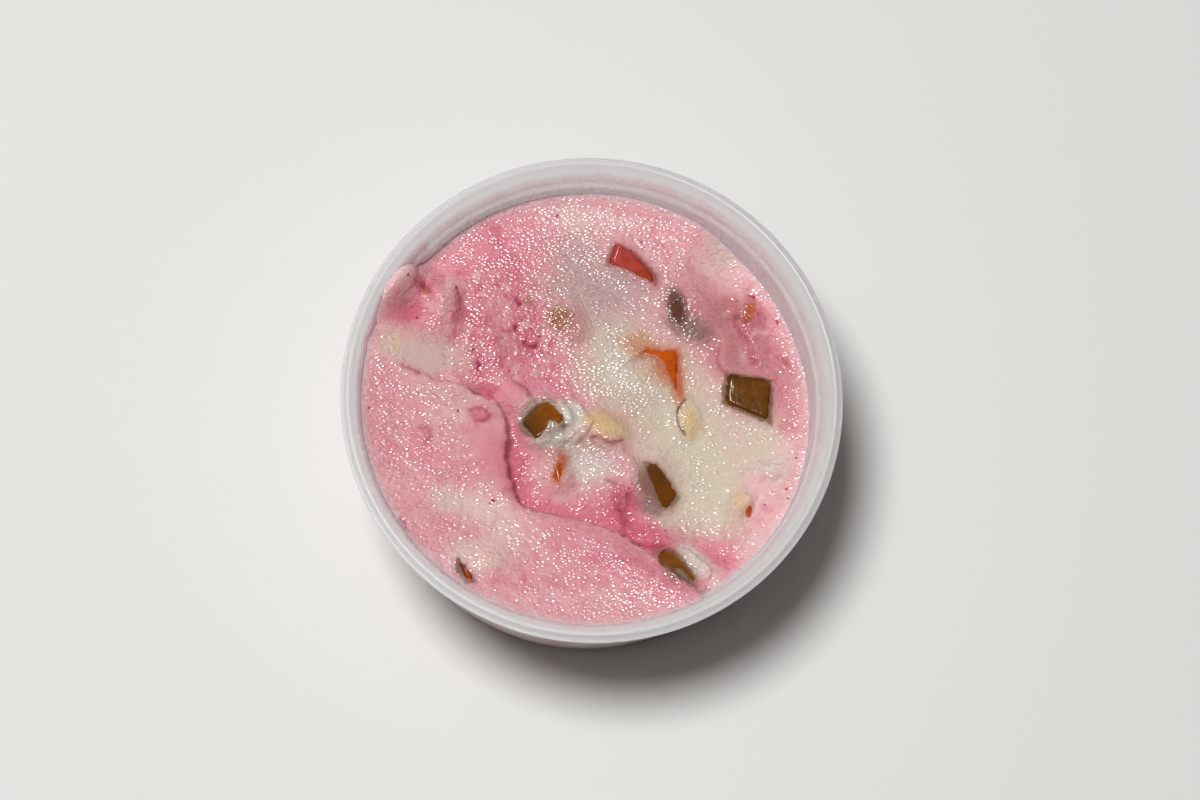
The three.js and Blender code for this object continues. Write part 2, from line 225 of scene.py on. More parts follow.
# Heights between which the food behind the plastic fades out, and what shows through it.
FOOD_FADES_FROM, FOOD_FADES_TO = 29, 36.5
BACKED_PINK, BACKED_CREAM, EMPTY_WALL = (0.9, 0.66, 0.68), (0.9, 0.79, 0.77), (0.9, 0.87, 0.87)
backed_plastic, tree, plastic = new_material(
    "backed_plastic",
    IOR=1.49,
    Roughness=0.36,
    Subsurface_Weight=1,
    Subsurface_Radius=(1, 0.8, 0.8),
    Subsurface_Scale=0.6 * MM,
)
place = add_node(tree, "TexCoord")
height = add_node(tree, "SeparateXYZ")
faded = add_node(tree, "MapRange", From_Min=FOOD_FADES_FROM * MM, From_Max=FOOD_FADES_TO * MM)
faded.interpolation_type = "SMOOTHSTEP"
marbling = add_node(tree, "TexNoise", Scale=45, Detail=2, Distortion=1.5)
streaks = add_node(tree, "MapRange", From_Min=0.4, From_Max=0.6)
food = add_mix(tree, BACKED_PINK, BACKED_CREAM)
through = add_mix(tree, BACKED_PINK, EMPTY_WALL)
link(place, "Object", height, "Vector")
link(height, "Z", faded, "Value")
link(place, "Object", marbling, "Vector")
link(marbling, "Fac", streaks, "Value")
link(streaks, "Result", food, "Factor")
link(faded, "Result", through, "Factor")
link(food, "Result", through, "A")
link(through, "Result", plastic, "Base Color")
tub.data.materials.append(backed_plastic)
for face in tub.data.polygons:
    outside = face.normal.x * face.center.x + face.normal.y * face.center.y > 0
    if face.center.z < BACKED_TOP * MM and (outside or face.normal.z < 0):
        face.material_index = 1

# ---- Fruit dice and nuts -----------------------------------------------------------------------
# Dice cut from candied papaya, syrupy and see-through at their edges, and pieces of almond and
# cashew. They were stirred in, so most of each lies in the food, with its corners worn round.

# Material slot, colour at one end, colour at the other, and the direction from the first to the
# second in degrees from +X.
FRUIT_LOOKS = {
    "green_die_right": ("green_fruit", (104, 62, 16), (98, 58, 10), -70),
    "green_die_centre": ("green_fruit", (120, 66, 10), (84, 56, 30), 160),
    "green_die_coated": ("green_fruit", (70, 50, 24), (156, 84, 22), 20),
    "green_die_lower": ("green_fruit", (124, 72, 20), (112, 66, 30), -50),
    "brown_die": ("brown_fruit", (98, 54, 42), (112, 74, 64), -40),
    "red_die": ("red_fruit", (182, 68, 68), (158, 64, 26), -60),
    "orange_die": ("orange_fruit", (196, 84, 14), (184, 80, 24), -90),
    "tan_die": ("tan_fruit", (168, 92, 62), (150, 84, 60), 0),
    "orange_die_buried": ("orange_fruit", (186, 74, 16), (176, 84, 40), -90),
    "orange_chip": ("orange_fruit", (176, 84, 36), (150, 66, 26), -120),
}
NUT_LOOKS = {
    "almond_flake": ("nut", (216, 178, 118), (206, 178, 130), 0),
    "pale_nut": ("nut", (222, 200, 132), (206, 172, 104), -90),
    "wall_nut": ("nut", (150, 122, 108), (170, 140, 124), 0),
    "small_nut": ("nut", (226, 204, 156), (206, 170, 120), 0),
    "beige_nut": ("nut", (206, 178, 150), (190, 150, 120), 0),
    "skin_sliver": ("nut_skin", (60, 20, 18), (196, 88, 36), -90),
    "left_nut": ("nut", (214, 204, 164), (204, 186, 146), 0),
}

# How close points are that are merged, how flat a join is dissolved, and how far corners are worn.
MERGED_WITHIN = 0.01 * MM
FLAT_JOIN = math.radians(3)
WEAR = 0.5 * MM


def linear(colour):
    """A colour of three numbers up to 255, as a screen shows it, made linear."""
    share = np.array(colour, float) / 255
    return np.where(share <= 0.04045, share / 12.92, ((share + 0.055) / 1.055) ** 2.4)


def add_attribute(tree, name):
    node = tree.nodes.new("ShaderNodeAttribute")
    node.attribute_name = name
    return node


def wet_flesh_group():
    """Node group that mottles a tint and gives the relief of wet fibrous flesh."""
    group = bpy.data.node_groups.new("wet_flesh", "ShaderNodeTree")
    group.interface.new_socket("Tint", in_out="INPUT", socket_type="NodeSocketColor")
    group.interface.new_socket("Colour", in_out="OUTPUT", socket_type="NodeSocketColor")
    group.interface.new_socket("Relief", in_out="OUTPUT", socket_type="NodeSocketFloat")
    given = group.nodes.new("NodeGroupInput")
    result = group.nodes.new("NodeGroupOutput")
    place = add_node(group, "TexCoord")
    fibres = add_node(group, "TexNoise", Scale=560, Detail=4)
    mottle = add_node(group, "MapRange", From_Min=0.35, From_Max=0.65, To_Min=0.82, To_Max=1.15)
    mottled = add_node(group, "VectorMath")
    mottled.operation = "SCALE"
    link(place, "Object", fibres, "Vector")
    link(fibres, "Fac", mottle, "Value")
    link(given, "Tint", mottled, "Vector")
    link(mottle, "Result", mottled, "Scale")
    link(mottled, "Vector", result, "Colour")
    link(fibres, "Fac", result, "Relief")
    return group


def syrupy(name, gloss, scatter):
    """A wet, slightly see-through flesh whose colour is painted on as its tint."""
    made, tree, shader = new_material(
        name,
        Roughness=gloss,
        Specular_IOR_Level=0.35,
        Subsurface_Weight=scatter,
        Subsurface_Radius=(1, 0.5, 0.2),
        Subsurface_Scale=1.2 * MM,
    )
    painted = add_attribute(tree, "tint")
    flesh = add_node(tree, "Group")
    flesh.node_tree = wet_flesh
    ripple = add_node(tree, "Bump", Strength=0.5, Distance=0.13 * MM)
    link(painted, "Color", flesh, "Tint")
    link(flesh, "Colour", shader, "Base Color")
    link(flesh, "Relief", ripple, "Height")
    link(ripple, "Normal", shader, "Normal")
    return made


def worn_copy(node):
    """A copy of a solid with its corners worn round."""
    nothing_selected()
    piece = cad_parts[node].copy()
    piece.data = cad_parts[node].data.copy()
    piece.parent = None
    for key in list(piece.keys()):
        del piece[key]
    bpy.context.scene.collection.objects.link(piece)
    bpy.context.view_layer.objects.active = piece
    piece.select_set(True)
    bpy.ops.object.mode_set(mode="EDIT")
    bpy.ops.mesh.select_all(action="SELECT")
    bpy.ops.mesh.remove_doubles(threshold=MERGED_WITHIN)
    bpy.ops.mesh.dissolve_limited(angle_limit=FLAT_JOIN)
    bpy.ops.object.mode_set(mode="OBJECT")
    worn = piece.modifiers.new("worn", "BEVEL")
    worn.width = WEAR
    worn.segments = 2
    soft = piece.modifiers.new("soft", "SUBSURF")
    soft.levels = soft.render_levels = 1
    apply_modifiers(piece)
    bpy.ops.object.shade_smooth()
    return piece


def keep_colours(piece, name, colours):
    """Keep a colour at each vertex of a piece."""
    layer = piece.data.color_attributes.new(name, "FLOAT_COLOR", "POINT")
    opaque = np.ones((*colours.shape[:-1], 1))
    layer.data.foreach_set("color", np.concatenate([colours, opaque], axis=-1).ravel())


def paint_tint(piece, one, other, direction):
    """Two colours that run into each other along a direction."""
    points = points_of(piece)
    turn = math.radians(direction)
    along = points[:, 0] * math.cos(turn) + points[:, 1] * math.sin(turn)
    share = ((along - along.min()) / np.ptp(along))[:, None]
    keep_colours(piece, "tint", linear(one) * (1 - share) + linear(other) * share)


wet_flesh = wet_flesh_group()
candied = syrupy("candied_papaya", gloss=0.1, scatter=0.15)
nut_flesh = syrupy("nut_flesh", gloss=0.3, scatter=0.35)
fruit = {}
for node, (slot, one, other, direction) in {**FRUIT_LOOKS, **NUT_LOOKS}.items():
    fruit[node] = worn_copy(node)
    paint_tint(fruit[node], one, other, direction)
    flesh = candied if node in FRUIT_LOOKS else nut_flesh
    finish_piece(fruit[node], node + "_piece", flesh, slot, node)

# ---- Shrikhand ---------------------------------------------------------------------------------
# Strained yogurt beaten thick with sugar, half of it dyed pink and folded in with a spatula. It was
# spooned in, so a thick lobe lies over the left and front, and it wets the wall that holds it.
TOP_CELLS = 300
FOOD_SHARP = math.radians(75)

# How far the food reaches into the wall, and how high it climbs where it wets the wall.
WALL_BITE = 0.15
WALL_CLIMB = 1.3
CLIMB_REACH = 2
# The lower food's level in the middle and its slopes, and where it starts to bend to the wall, as
# a share of the way out.
PLAIN_LEVEL = 33.1
FALL_TO_RIGHT = 0.055
RISE_TO_BACK = 0.03
BEND_FROM = 0.66
# The lobe's level, and its rise towards the wall.
LOBE_LEVEL = 37.7
LOBE_RISE = 1.3
# The lobe's edge, its lip that drops and rounds off, and the trench before it, which is there where
# the lobe stands well above the food beside it.
FOLD_WIDTH = 1.3
LIP_DROP = 0.25
LIP_ROUND = 1.5
TRENCH_DEPTH = 0.5
TRENCH_WIDTH = 2.4
WELL_ABOVE = 0.5, 3.5
# The skin of food over the dice: thickness, thinnest, how far from a bare spot it is at its full
# thickness, how far it lifts the food at most, and over how many cells that is spread.
SKIN = 0.25
LEAST_SKIN = 0.03
SKIN_SLOPE = 1.5
MOST_LIFT = 2.5
SKIN_CELLS = 5
# A die is bare only where its top is nearly as high as it is this many cells on.
FLAT_CELLS = 3
FLAT_WITHIN = 0.7
BARE_DEPTH = 0.35
WINDOW_EDGE = -0.1, 0.4
# How grainy the skin is over a bare spot, and the least grain anywhere.
BARE_GRAIN = 0.3
LEAST_GRAIN = 0.04
# Furrows of the spatula along the lobe: turn, how much longer than wide, depth.
FURROW_TURN = math.radians(-42)
FURROW_STRETCH = 4
FURROW_DEPTH = 0.03

# Height at which the food meets the wall: angle from +X in degrees, height.
WALL_LEVELS = np.array([
    (0, 30.4), (20, 30), (45, 30.6), (62, 33.8), (90, 34.4), (120, 34.4), (138, 33.8),
    (146, 38), (160, 39.4), (180, 40), (240, 38.4), (290, 35.7), (315, 32.2), (340, 31), (360, 30.4),
])

# Soft rises and hollows: x, y, half-length, half-width, turn from +X in degrees, rise.
HILLS = {
    "back left rise": (-28.1, 11.9, 17, 12, 60, 1.5),
    "wall curl": (-38.9, 24.1, 6, 2.6, 55, 3.6),
    "standing lump": (-29.3, 21.2, 5.4, 2.9, 78, 2.2),
    "curl hollow": (-36.2, 18.2, 4.4, 2.8, 10, -1.4),
    "curl hole": (-33.4, 23.4, 1.3, 1, 50, -1),
    "lump crease": (-25.6, 20.6, 2.6, 1.1, 80, -0.5),
    "nut rise": (-22.5, -33.5, 8, 6, 20, 0.9),
    "middle ridge": (-19.6, 12.9, 9, 2.4, 110, 0.5),
    "torn flap": (-15.3, 1.2, 3.8, 2.6, -40, 1.6),
    "flap bay": (-20.5, 1.6, 2.6, 1.5, -40, -1.2),
    "dice coat": (-6.4, -4, 7.2, 4.6, -20, 1.7),
    "ragged lump": (6.4, -12.7, 6.4, 3.8, -50, 1.6),
    "lump gully": (8.4, -22.2, 4.2, 1.7, -75, -1.7),
    "wedge bank": (4.3, 25.4, 8, 3.4, -25, -0.7),
    "brown dice bank": (21.4, 21.4, 5, 4, -45, 1.1),
    "pink block": (27.5, 10.8, 4, 3, 80, 1.2),
    "side strap": (34.1, 13.4, 6.5, 2, 105, 1),
    "front right ridge": (32.9, -14.7, 5.2, 1.8, 30, 0.9),
    "front right flap": (37.6, -12.6, 3.6, 2.4, 60, 1),
    "front right lump": (37.5, -19.5, 5.4, 3, 60, 0.9),
    "front right step": (29.2, -23.1, 4.5, 2.2, 68, 0.9),
    "lower dice coat": (21.1, -31.7, 6, 2.4, -42, 1.8),
    "right basin": (20.9, -4, 15, 11, 80, -0.7),
    "lobe ridge": (7.8, -34, 15, 3.2, -30, 0.8),
    "lobe hollow": (-21.1, -21.1, 8, 5, -35, -0.6),
    "lobe crown": (-30.1, -10.1, 9, 6, 80, 0.6),
}

# The lobe's edge, from the left wall to the front right.
FOLD = [
    (-49.1, 11.4), (-41.4, 8), (-37.2, 6.4), (-30.4, 4.3), (-26.6, 3.8), (-23, 1.6), (-19.4, 0.7),
    (-17.6, -2), (-16.4, -6.1), (-16.9, -11), (-15.6, -16.3), (-14.1, -20.4), (-11.2, -21.7),
    (-4.1, -23.2), (4, -25.4), (8.6, -28), (14.8, -33), (22.5, -39), (30.9, -45),
]

# Near its end at the front right the fold spreads out: x, y, half-length, half-width, turn.
FOLD_END = (25.5, -40, 6.5, 5, -40)
END_SPREAD = 2.2

# Torn edges, higher on the right as each line runs: points, step, how far back the rise reaches.
TORN_EDGES = {
    "curl": ([(-36.9, 21.4), (-35.7, 24), (-35.2, 27), (-35.9, 30.5)], -0.5, 2.4),
    "lump left": ([(-33.6, 25.6), (-32.9, 23.8), (-31.9, 22.6), (-31.6, 19.6)], -0.6, 2),
    "lump right": ([(-26.6, 18.2), (-26.2, 20), (-27.2, 22.2), (-27.3, 24.4), (-29, 25.8)], -0.5, 2.2),
    "flap left": ([(-25.4, 4.4), (-22.6, 2.7), (-20.9, 1.1), (-19.6, 1.1), (-19.2, 2.8)], 0.9, 2.4),
    "flap right": ([(-15.2, 5), (-13.4, 3.8), (-12.3, 2.8), (-11.6, 1.4)], 0.9, 2.2),
    "coat left": ([(-11.4, 2.4), (-14.2, -0.4), (-15, -3.4), (-13.6, -6.4)], -0.6, 1.6),
    "coat right": ([(-2.8, 2), (-1.2, -0.8), (0.4, -3.6), (-1.6, -6.4), (-4.2, -7.6)], 0.9, 2),
    "cover edge": ([(-1, -5.2), (1.6, -6.5), (4.4, -7.3), (6.6, -6.2)], -0.5, 1.6),
    "ragged edge": ([(7.4, -8.8), (9.4, -11.6), (9.6, -15), (7.6, -18.6)], 0.8, 2.2),
    "tongue": ([(7, -25.4), (9, -27), (11.6, -28), (15, -28.2)], -0.8, 2.4),
    "orange shelf": ([(6, 10.6), (7.6, 11.2), (9.4, 12.2), (12.4, 12.7), (17, 12.7)], 0.7, 1.6),
    "die coat": ([(13, -27.8), (18, -28.5), (22.5, -31.5), (24.2, -34), (23, -36.4)], 1.2, 1.8),
    "block": ([(26.4, 13.4), (25.8, 10.8), (26.6, 8.6), (27.8, 7.4)], -0.8, 2.2),
    "strap": ([(29.4, 19.6), (31, 16.6), (32.8, 14), (33.6, 10.4)], -0.6, 1.8),
    "chip": ([(30.6, 28), (31.4, 26.6), (33, 25.6)], -0.5, 1.4),
    "front step": ([(26.4, -26), (27.6, -22.8), (28.6, -20.4), (30.4, -18.6)], 0.8, 2.6),
    "flap top": ([(35.4, -10.4), (37.8, -11.4), (40, -10.4), (41.2, -8.6)], 0.8, 2.4),
    "flap rags": ([(31.6, -16.6), (33.6, -15), (36, -15.6), (38.6, -17.4)], 0.7, 2),
    "step rags": ([(29.8, -26.4), (30.6, -23.8), (32.8, -22.4), (33.4, -20.4)], 0.6, 1.8),
    "front ridge": ([(28.6, -14.6), (31.4, -12.8), (33.4, -11.6), (36, -10.2)], 0.6, 2.4),
}

# Creases that the spatula left: points, width, depth, share of crimson, which is partly dye and partly
# painted shade.
CREASES = {
    "left edge": ([(-37.6, 6.9), (-36, 6.2), (-34.6, 5.6)], 0.35, 0.3, 0.5),
    "notch": ([(-24.4, 2.8), (-22.4, 1.9), (-20.8, 1.1), (-20.1, 1.6), (-20.3, 2.6)], 0.3, 0.4, 0.7),
    "flap edge": ([(-15, 4.6), (-13.5, 3.8), (-12.4, 2.8), (-11.8, 1.6)], 0.4, 0.3, 0.4),
    "curl hole": ([(-34.2, 24.2), (-33.3, 23.5), (-32.8, 22.8)], 0.6, 0.3, 0.6),
    "lump edge": ([(-27, 23), (-26.5, 21.8), (-26.5, 20.6)], 0.4, 0.3, 0.6),
    "back pit": ([(-14.9, 22), (-14.5, 21.2)], 0.4, 0.5, 0.9),
    "bay bottom": ([(-13.4, 13.1), (-12, 12.5), (-11, 12.9)], 0.4, 0.3, 0.8),
    "bay tail": ([(-15.3, 16.6), (-15.1, 15.8)], 0.4, 0.3, 0.8),
    "bay spots": ([(-22.9, 8.6), (-22.5, 7.4)], 0.45, 0.2, 0.7),
    "crater": (
        [(-24.4, -2.2), (-23, -1.6), (-21.4, -2), (-20.4, -3), (-21.3, -4), (-22.9, -4.2)],
        0.35, 0.2, 0.5,
    ),
    "small crater": ([(-34, -5.8), (-32.5, -6), (-31.9, -7.4), (-32.8, -8.8)], 0.5, 0.12, 0.3),
    "gully": ([(5.2, -18.4), (6, -20.5), (7.2, -22.4), (7, -24.4)], 1, 0.5, 0.3),
    "ragged edge": ([(3.4, -15), (5.4, -16), (7.2, -17.4), (7.6, -19)], 0.5, 0.3, 0.3),
    "tongue edge": ([(7.6, -25.6), (9, -27), (11.4, -28.1), (14.6, -28.2)], 0.6, 0.7, 0.7),
    "block edge": ([(26.2, 13), (25.8, 10.8), (26.6, 8.6), (27.6, 7.6)], 0.4, 0.3, 0.3),
    "strap crease": ([(29.4, 19.6), (31, 16.6), (32.8, 14), (33.6, 10.4)], 0.5, 0.4, 0.3),
    "wall nick": ([(38.6, 12), (40.3, 10.8)], 0.4, 0.3, 0.4),
    "front nick": ([(-37.5, -25.2), (-36.2, -27.2)], 0.4, 0.4, 0.6),
    "coat fold": ([(-6, 0.8), (-4.8, -1), (-3.8, -3.6)], 0.7, -0.7, 0),
    "coat ribbon": (
        [(-13.2, -7.2), (-10.4, -8), (-7, -7.4), (-3.6, -6), (-1.8, -4.2), (-1.2, -2.8)],
        0.7, -0.6, 0,
    ),
    "coat top": ([(-12.6, 0.6), (-10.4, 1.8), (-7.4, 1.4)], 0.5, -0.4, 0),
    "ridge top": ([(31.4, -12.6), (33, -11.6), (35.2, -10.4)], 0.5, -0.4, 0),
    "step top": ([(27, -25), (28, -22.4), (28.6, -21)], 0.5, -0.4, 0),
}

# Where the food is pulled off a die, so that its flesh is bare: corners of each window.
# The name gives the die, and the first two values are the stain round it and how far it spreads.
WINDOWS = {
    ("right die", "green", 0.2): [
        (27.5, 7.8), (31, 7.7), (37, 6.8), (37.1, 2), (36.8, -2.3), (33.6, -1.2), (30.4, 0.1),
        (26.8, 1.9), (27, 5),
    ],
    ("centre die", "olive", 0.5): [
        (10.8, -11), (13.2, -11.4), (15.4, -13.4), (17.7, -17.2), (17.9, -18), (16.4, -20.1),
        (14.4, -20.2), (13.2, -17.6), (11.8, -14),
    ],
    ("coated die", "grey green", 0.25): [
        (-14.4, -3.8), (-12.6, -2), (-10.4, 0.5), (-8.4, 0.8), (-7.1, -0.6), (-6.2, -2.2),
        (-4.8, -4.2), (-5.6, -5), (-7, -3.6), (-8.4, -3.4), (-8.9, -5), (-9.8, -6.2),
        (-11.2, -7.3), (-12.8, -6.2), (-14.2, -5),
    ],
    ("lower die", "olive", 0.5): [
        (13, -29.8), (15, -29), (16.8, -29.3), (18.7, -31.8), (21, -35.2), (20.4, -35.9),
        (18.4, -33.4), (16, -32.6), (14.2, -31.2),
    ],
    ("brown die", "umber", 0.8): [
        (16.6, 24.6), (17.8, 23.6), (18.9, 20.6), (18.4, 19), (17, 19.4), (16.4, 21.4),
    ],
    ("red die", "red", 0.4): [
        (5.1, 34.6), (3.4, 31.2), (3.6, 30.4), (5.8, 29.7), (8.2, 28.8), (10.7, 27.6), (13.4, 26.2),
        (13.4, 28.4), (9.9, 32), (8.4, 33.2),
    ],
    ("orange die", "orange", 0.8): [
        (10.4, 11.7), (11.4, 12.6), (17.8, 12.8), (18.3, 7.5), (18.7, 2.8), (17.6, 4.2),
        (16.4, 7), (15, 10.2), (13.4, 11.5), (12, 11.7),
    ],
    ("buried die", "orange", 0.8): [
        (-5.9, -10.6), (-5.1, -10.9), (-5.5, -13.2), (-6.4, -15.8), (-7.5, -14.6), (-6.6, -12.6),
    ],
    ("sliver", "skin", 0.3): [(-26.4, -32.6), (-25, -34), (-22.8, -37.4), (-24.8, -38.2), (-26.8, -35)],
}

CREAM_COLOURS = {
    "cream": (212, 199, 181),
    "ivory": (204, 192, 176),
    "white": (214, 208, 198),
    "pale": (226, 192, 192),
    "blush": (226, 176, 180),
    "rose": (221, 155, 163),
    "pink": (218, 136, 152),
    "deep": (204, 100, 122),
    "crimson": (150, 34, 62),
    "lilac": (196, 166, 164),
    "dusty": (188, 124, 126),
    "beige": (214, 172, 166),
    "film": (222, 200, 202),
    "green": (112, 78, 34),
    "grey green": (120, 104, 76),
    "red": (150, 66, 58),
    "orange": (190, 92, 30),
    "apricot": (200, 136, 96),
    "tan": (176, 104, 84),
    "yellow": (218, 192, 138),
    "skin": (110, 54, 44),
    "rust": (158, 100, 64),
    "olive": (126, 92, 62),
    "umber": (96, 54, 42),
    "ash": (150, 124, 118),
    "fawn": (190, 162, 142),
}

# Dabs of colour, laid one over another: x, y, half-length, half-width, turn, colour, share.
DABS = [
    (19, -4, 24, 13, -55, "cream", 1),
    (5, 10, 9, 8, 90, "cream", 0.9),
    (24, -17, 10, 8, 90, "cream", 1),
    (35, -6, 6, 6, 0, "cream", 0.9),
    (3, 25, 11, 8, 0, "lilac", 1),
    (-3, 33, 6, 7, 0, "lilac", 0.7),
    (-5, 24, 4, 8, 0, "lilac", 0.6),
    (1, 40, 12, 4, 0, "pale", 0.8),
    (17, 31, 10, 7, -30, "blush", 0.7),
    (22, 27, 6, 5, -30, "dusty", 0.5),
    (30, 29, 6, 4, -50, "pale", 0.6),
    (28, 21, 5, 4, -30, "dusty", 0.9),
    (29, 13, 5, 8, 10, "dusty", 0.8),
    (36, 11, 5, 7, 0, "dusty", 0.6),
    (-22, 31, 13, 9, 30, "pink", 0.7),
    (-19, 35, 5, 1.8, 115, "deep", 0.6),
    (-16, 26, 6, 2.5, 105, "deep", 0.5),
    (-13, 14.4, 6, 3, 80, "deep", 0.8),
    (-21, 12, 5, 4, 100, "deep", 0.5),
    (-24, 20, 5, 3, 80, "deep", 0.4),
    (-32, 24, 5, 4, 0, "blush", 0.4),
    (-36, 18.5, 5.5, 2.8, 5, "deep", 0.9),
    (-34, 24, 2.4, 1.8, 40, "deep", 0.8),
    (-30, 21, 4, 3, 80, "blush", 0.8),
    (-28.6, 24.6, 2.4, 1.4, -20, "pale", 0.8),
    (-39, 27, 5, 2.5, 60, "blush", 0.9),
    (-37, 26, 4, 1.6, 70, "pale", 0.8),
    (-33, 10.5, 9, 4, -10, "beige", 1),
    (-40, 11, 2, 3, 0, "cream", 0.5),
    (-14, 5, 9, 4, -20, "pink", 0.8),
    (-22, 7, 3, 2, 100, "deep", 0.5),
    (-8, 8, 5, 6, 20, "pink", 0.5),
    (-40, -2, 5, 8, 90, "rose", 0.5),
    (-29, 1, 9, 3, -8, "beige", 0.7),
    (-30, -5, 9, 4, 0, "beige", 0.4),
    (-21, -10, 6, 4, -60, "pink", 0.9),
    (-33, -13, 8, 4, -30, "pink", 0.5),
    (-23, -21, 10, 3, -10, "pale", 0.9),
    (-26, -21, 4.5, 2.2, -10, "ivory", 0.6),
    (-18, -26, 4, 2.4, -40, "ivory", 0.5),
    (-27, -3, 5, 2.5, 20, "pale", 0.4),
    (-17, -25, 8, 3, -25, "pale", 0.5),
    (-38, -18, 5, 6, -50, "blush", 0.6),
    (-34, -24, 6, 3, -55, "pink", 0.4),
    (-23, -32, 6, 3.6, 20, "pale", 0.9),
    (-15, -14, 7, 3, 100, "deep", 0.9),
    (-9, -18, 7, 3.4, -40, "pink", 0.8),
    (-2, -20, 10, 3.5, -12, "pink", 0.9),
    (6, -19.6, 3.4, 4, 0, "deep", 0.8),
    (0, -11.6, 6, 4.6, -20, "lilac", 0.9),
    (13, -26, 9, 3, -15, "deep", 0.9),
    (24, -30, 6, 3.5, -20, "pink", 0.8),
    (4, -32, 11, 3.4, -20, "pink", 0.8),
    (17, -38, 7, 3, -30, "pink", 0.5),
    (-3, -41, 20, 2.6, 0, "blush", 0.7),
    (36, -20, 5, 8, 20, "blush", 0.8),
    (37.6, -12, 4, 3, 30, "white", 0.7),
    (41, 2, 2.5, 9, 0, "rose", 0.6),
    (5, 42, 10, 1, -8, "rose", 0.8),
    (27, 33, 5, 2.4, -50, "ivory", 0.7),
    (16, -23, 4.5, 2.6, -40, "ivory", 0.6),
    (24, 31, 5, 3, -50, "pale", 0.6),
    (-12, -31, 7, 2.4, -25, "blush", 0.6),
    (-33, -25, 4, 3, -50, "blush", 0.7),
    (8, 8, 5, 5, 0, "white", 0.6),
    (4, 15, 6, 4, 0, "ivory", 0.5),
    (24, 16.6, 3, 2.4, 0, "dusty", 0.8),
    (-34, 8.6, 8, 2.6, -12, "ivory", 0.5),
    (-23, -21, 9, 3.4, -14, "pale", 0.6),
    (-18, -27, 5, 3.4, -40, "pale", 0.6),
    (-24, -32, 7, 4, 0, "pale", 0.7),
    (-7, -15.4, 4.4, 3, -50, "pale", 0.8),
    (-0.5, -12.4, 7, 4.4, -24, "pale", 0.6),
    (-1, -12, 5, 3.4, -24, "white", 0.6),
    (6, -17, 2.4, 2.4, 0, "pink", 0.6),
    (0, -8, 4, 2.4, 0, "fawn", 0.6),
    (8, 0, 5, 5, 0, "fawn", 0.25),
    (8, -24, 3, 1.8, -20, "deep", 0.6),
    (27, -31, 3.6, 3.4, 0, "pink", 0.8),
    (40, -8, 3, 4, 0, "pale", 0.5),
    (24, 16, 3, 3, 0, "dusty", 0.5),
    (33, 16, 4, 4, 0, "dusty", 0.4),
    (40, 8, 3, 4, 0, "dusty", 0.5),
    (-24, 16, 3.4, 3.4, 0, "deep", 0.4),
    (-32, 24, 3, 3, 0, "pink", 0.4),
    (-16, 17, 3, 3, 0, "rose", 0.4),
    (-24, 25, 4, 4, 0, "rose", 0.4),
    (-22.3, -3, 2.2, 1.1, -5, "deep", 0.7),
    (-33.1, -7.4, 1.5, 2.1, 0, "deep", 0.6),
    (33, -26, 2, 5, -20, "pale", 0.6),
    (33.6, -16, 2.4, 4, 20, "pale", 0.6),
    (41, 0, 2.6, 5, 0, "dusty", 0.45),
    (26, -32, 3, 3, 0, "deep", 0.4),
    (7.6, -24, 2.2, 1.6, 0, "deep", 0.8),
    (-24, 16, 3, 3, 0, "deep", 0.35),
    (-16, 17, 3, 3, 0, "rose", 0.6),
    (-21, -33, 5, 2.6, 10, "pale", 0.8),
    (-35, 8, 7, 4, -10, "pale", 0.5),
    (24, 16, 3, 3, 0, "dusty", 0.4),
    (-24, -9, 4, 3, 0, "blush", 0.4),
]

# Where the food was torn and stands in small lumps: x, y, half-length, half-width, turn, height.
LUMPS = [
    (6.4, -17.4, 3.4, 4.4, 20, 0.7),
    (36.5, -17, 4.6, 9, 20, 0.45),
    (33, 17, 6, 10, 0, 0.35),
    (-14, 13, 5, 5, 0, 0.5),
    (-29, 21, 5, 4, 70, 0.4),
    (22, -32, 4, 3.4, -35, 0.6),
    (-4, -4.6, 5, 4, -20, 0.4),
    (19.6, 20, 5, 3.4, -50, 0.5),
    (-22, -26, 9, 6, -30, 0.25),
    (11, -26.4, 6, 2.4, -15, 0.4),
]

# Where the dye is blotchy: x, y, half-length, half-width, turn, share.
MOTTLED = [
    (-20, 20, 15, 12, -40, 1.2),
    (-14, 10, 10, 7, 0, 1),
    (-30, -10, 12, 12, 0, 0.5),
    (0, -35, 24, 7, 0, 0.6),
    (-6, -18, 10, 5, -30, 0.6),
    (33, 18, 7, 10, 0, 0.9),
    (14, 34, 10, 5, -20, 0.7),
    (36, -20, 5, 8, 0, 0.7),
]

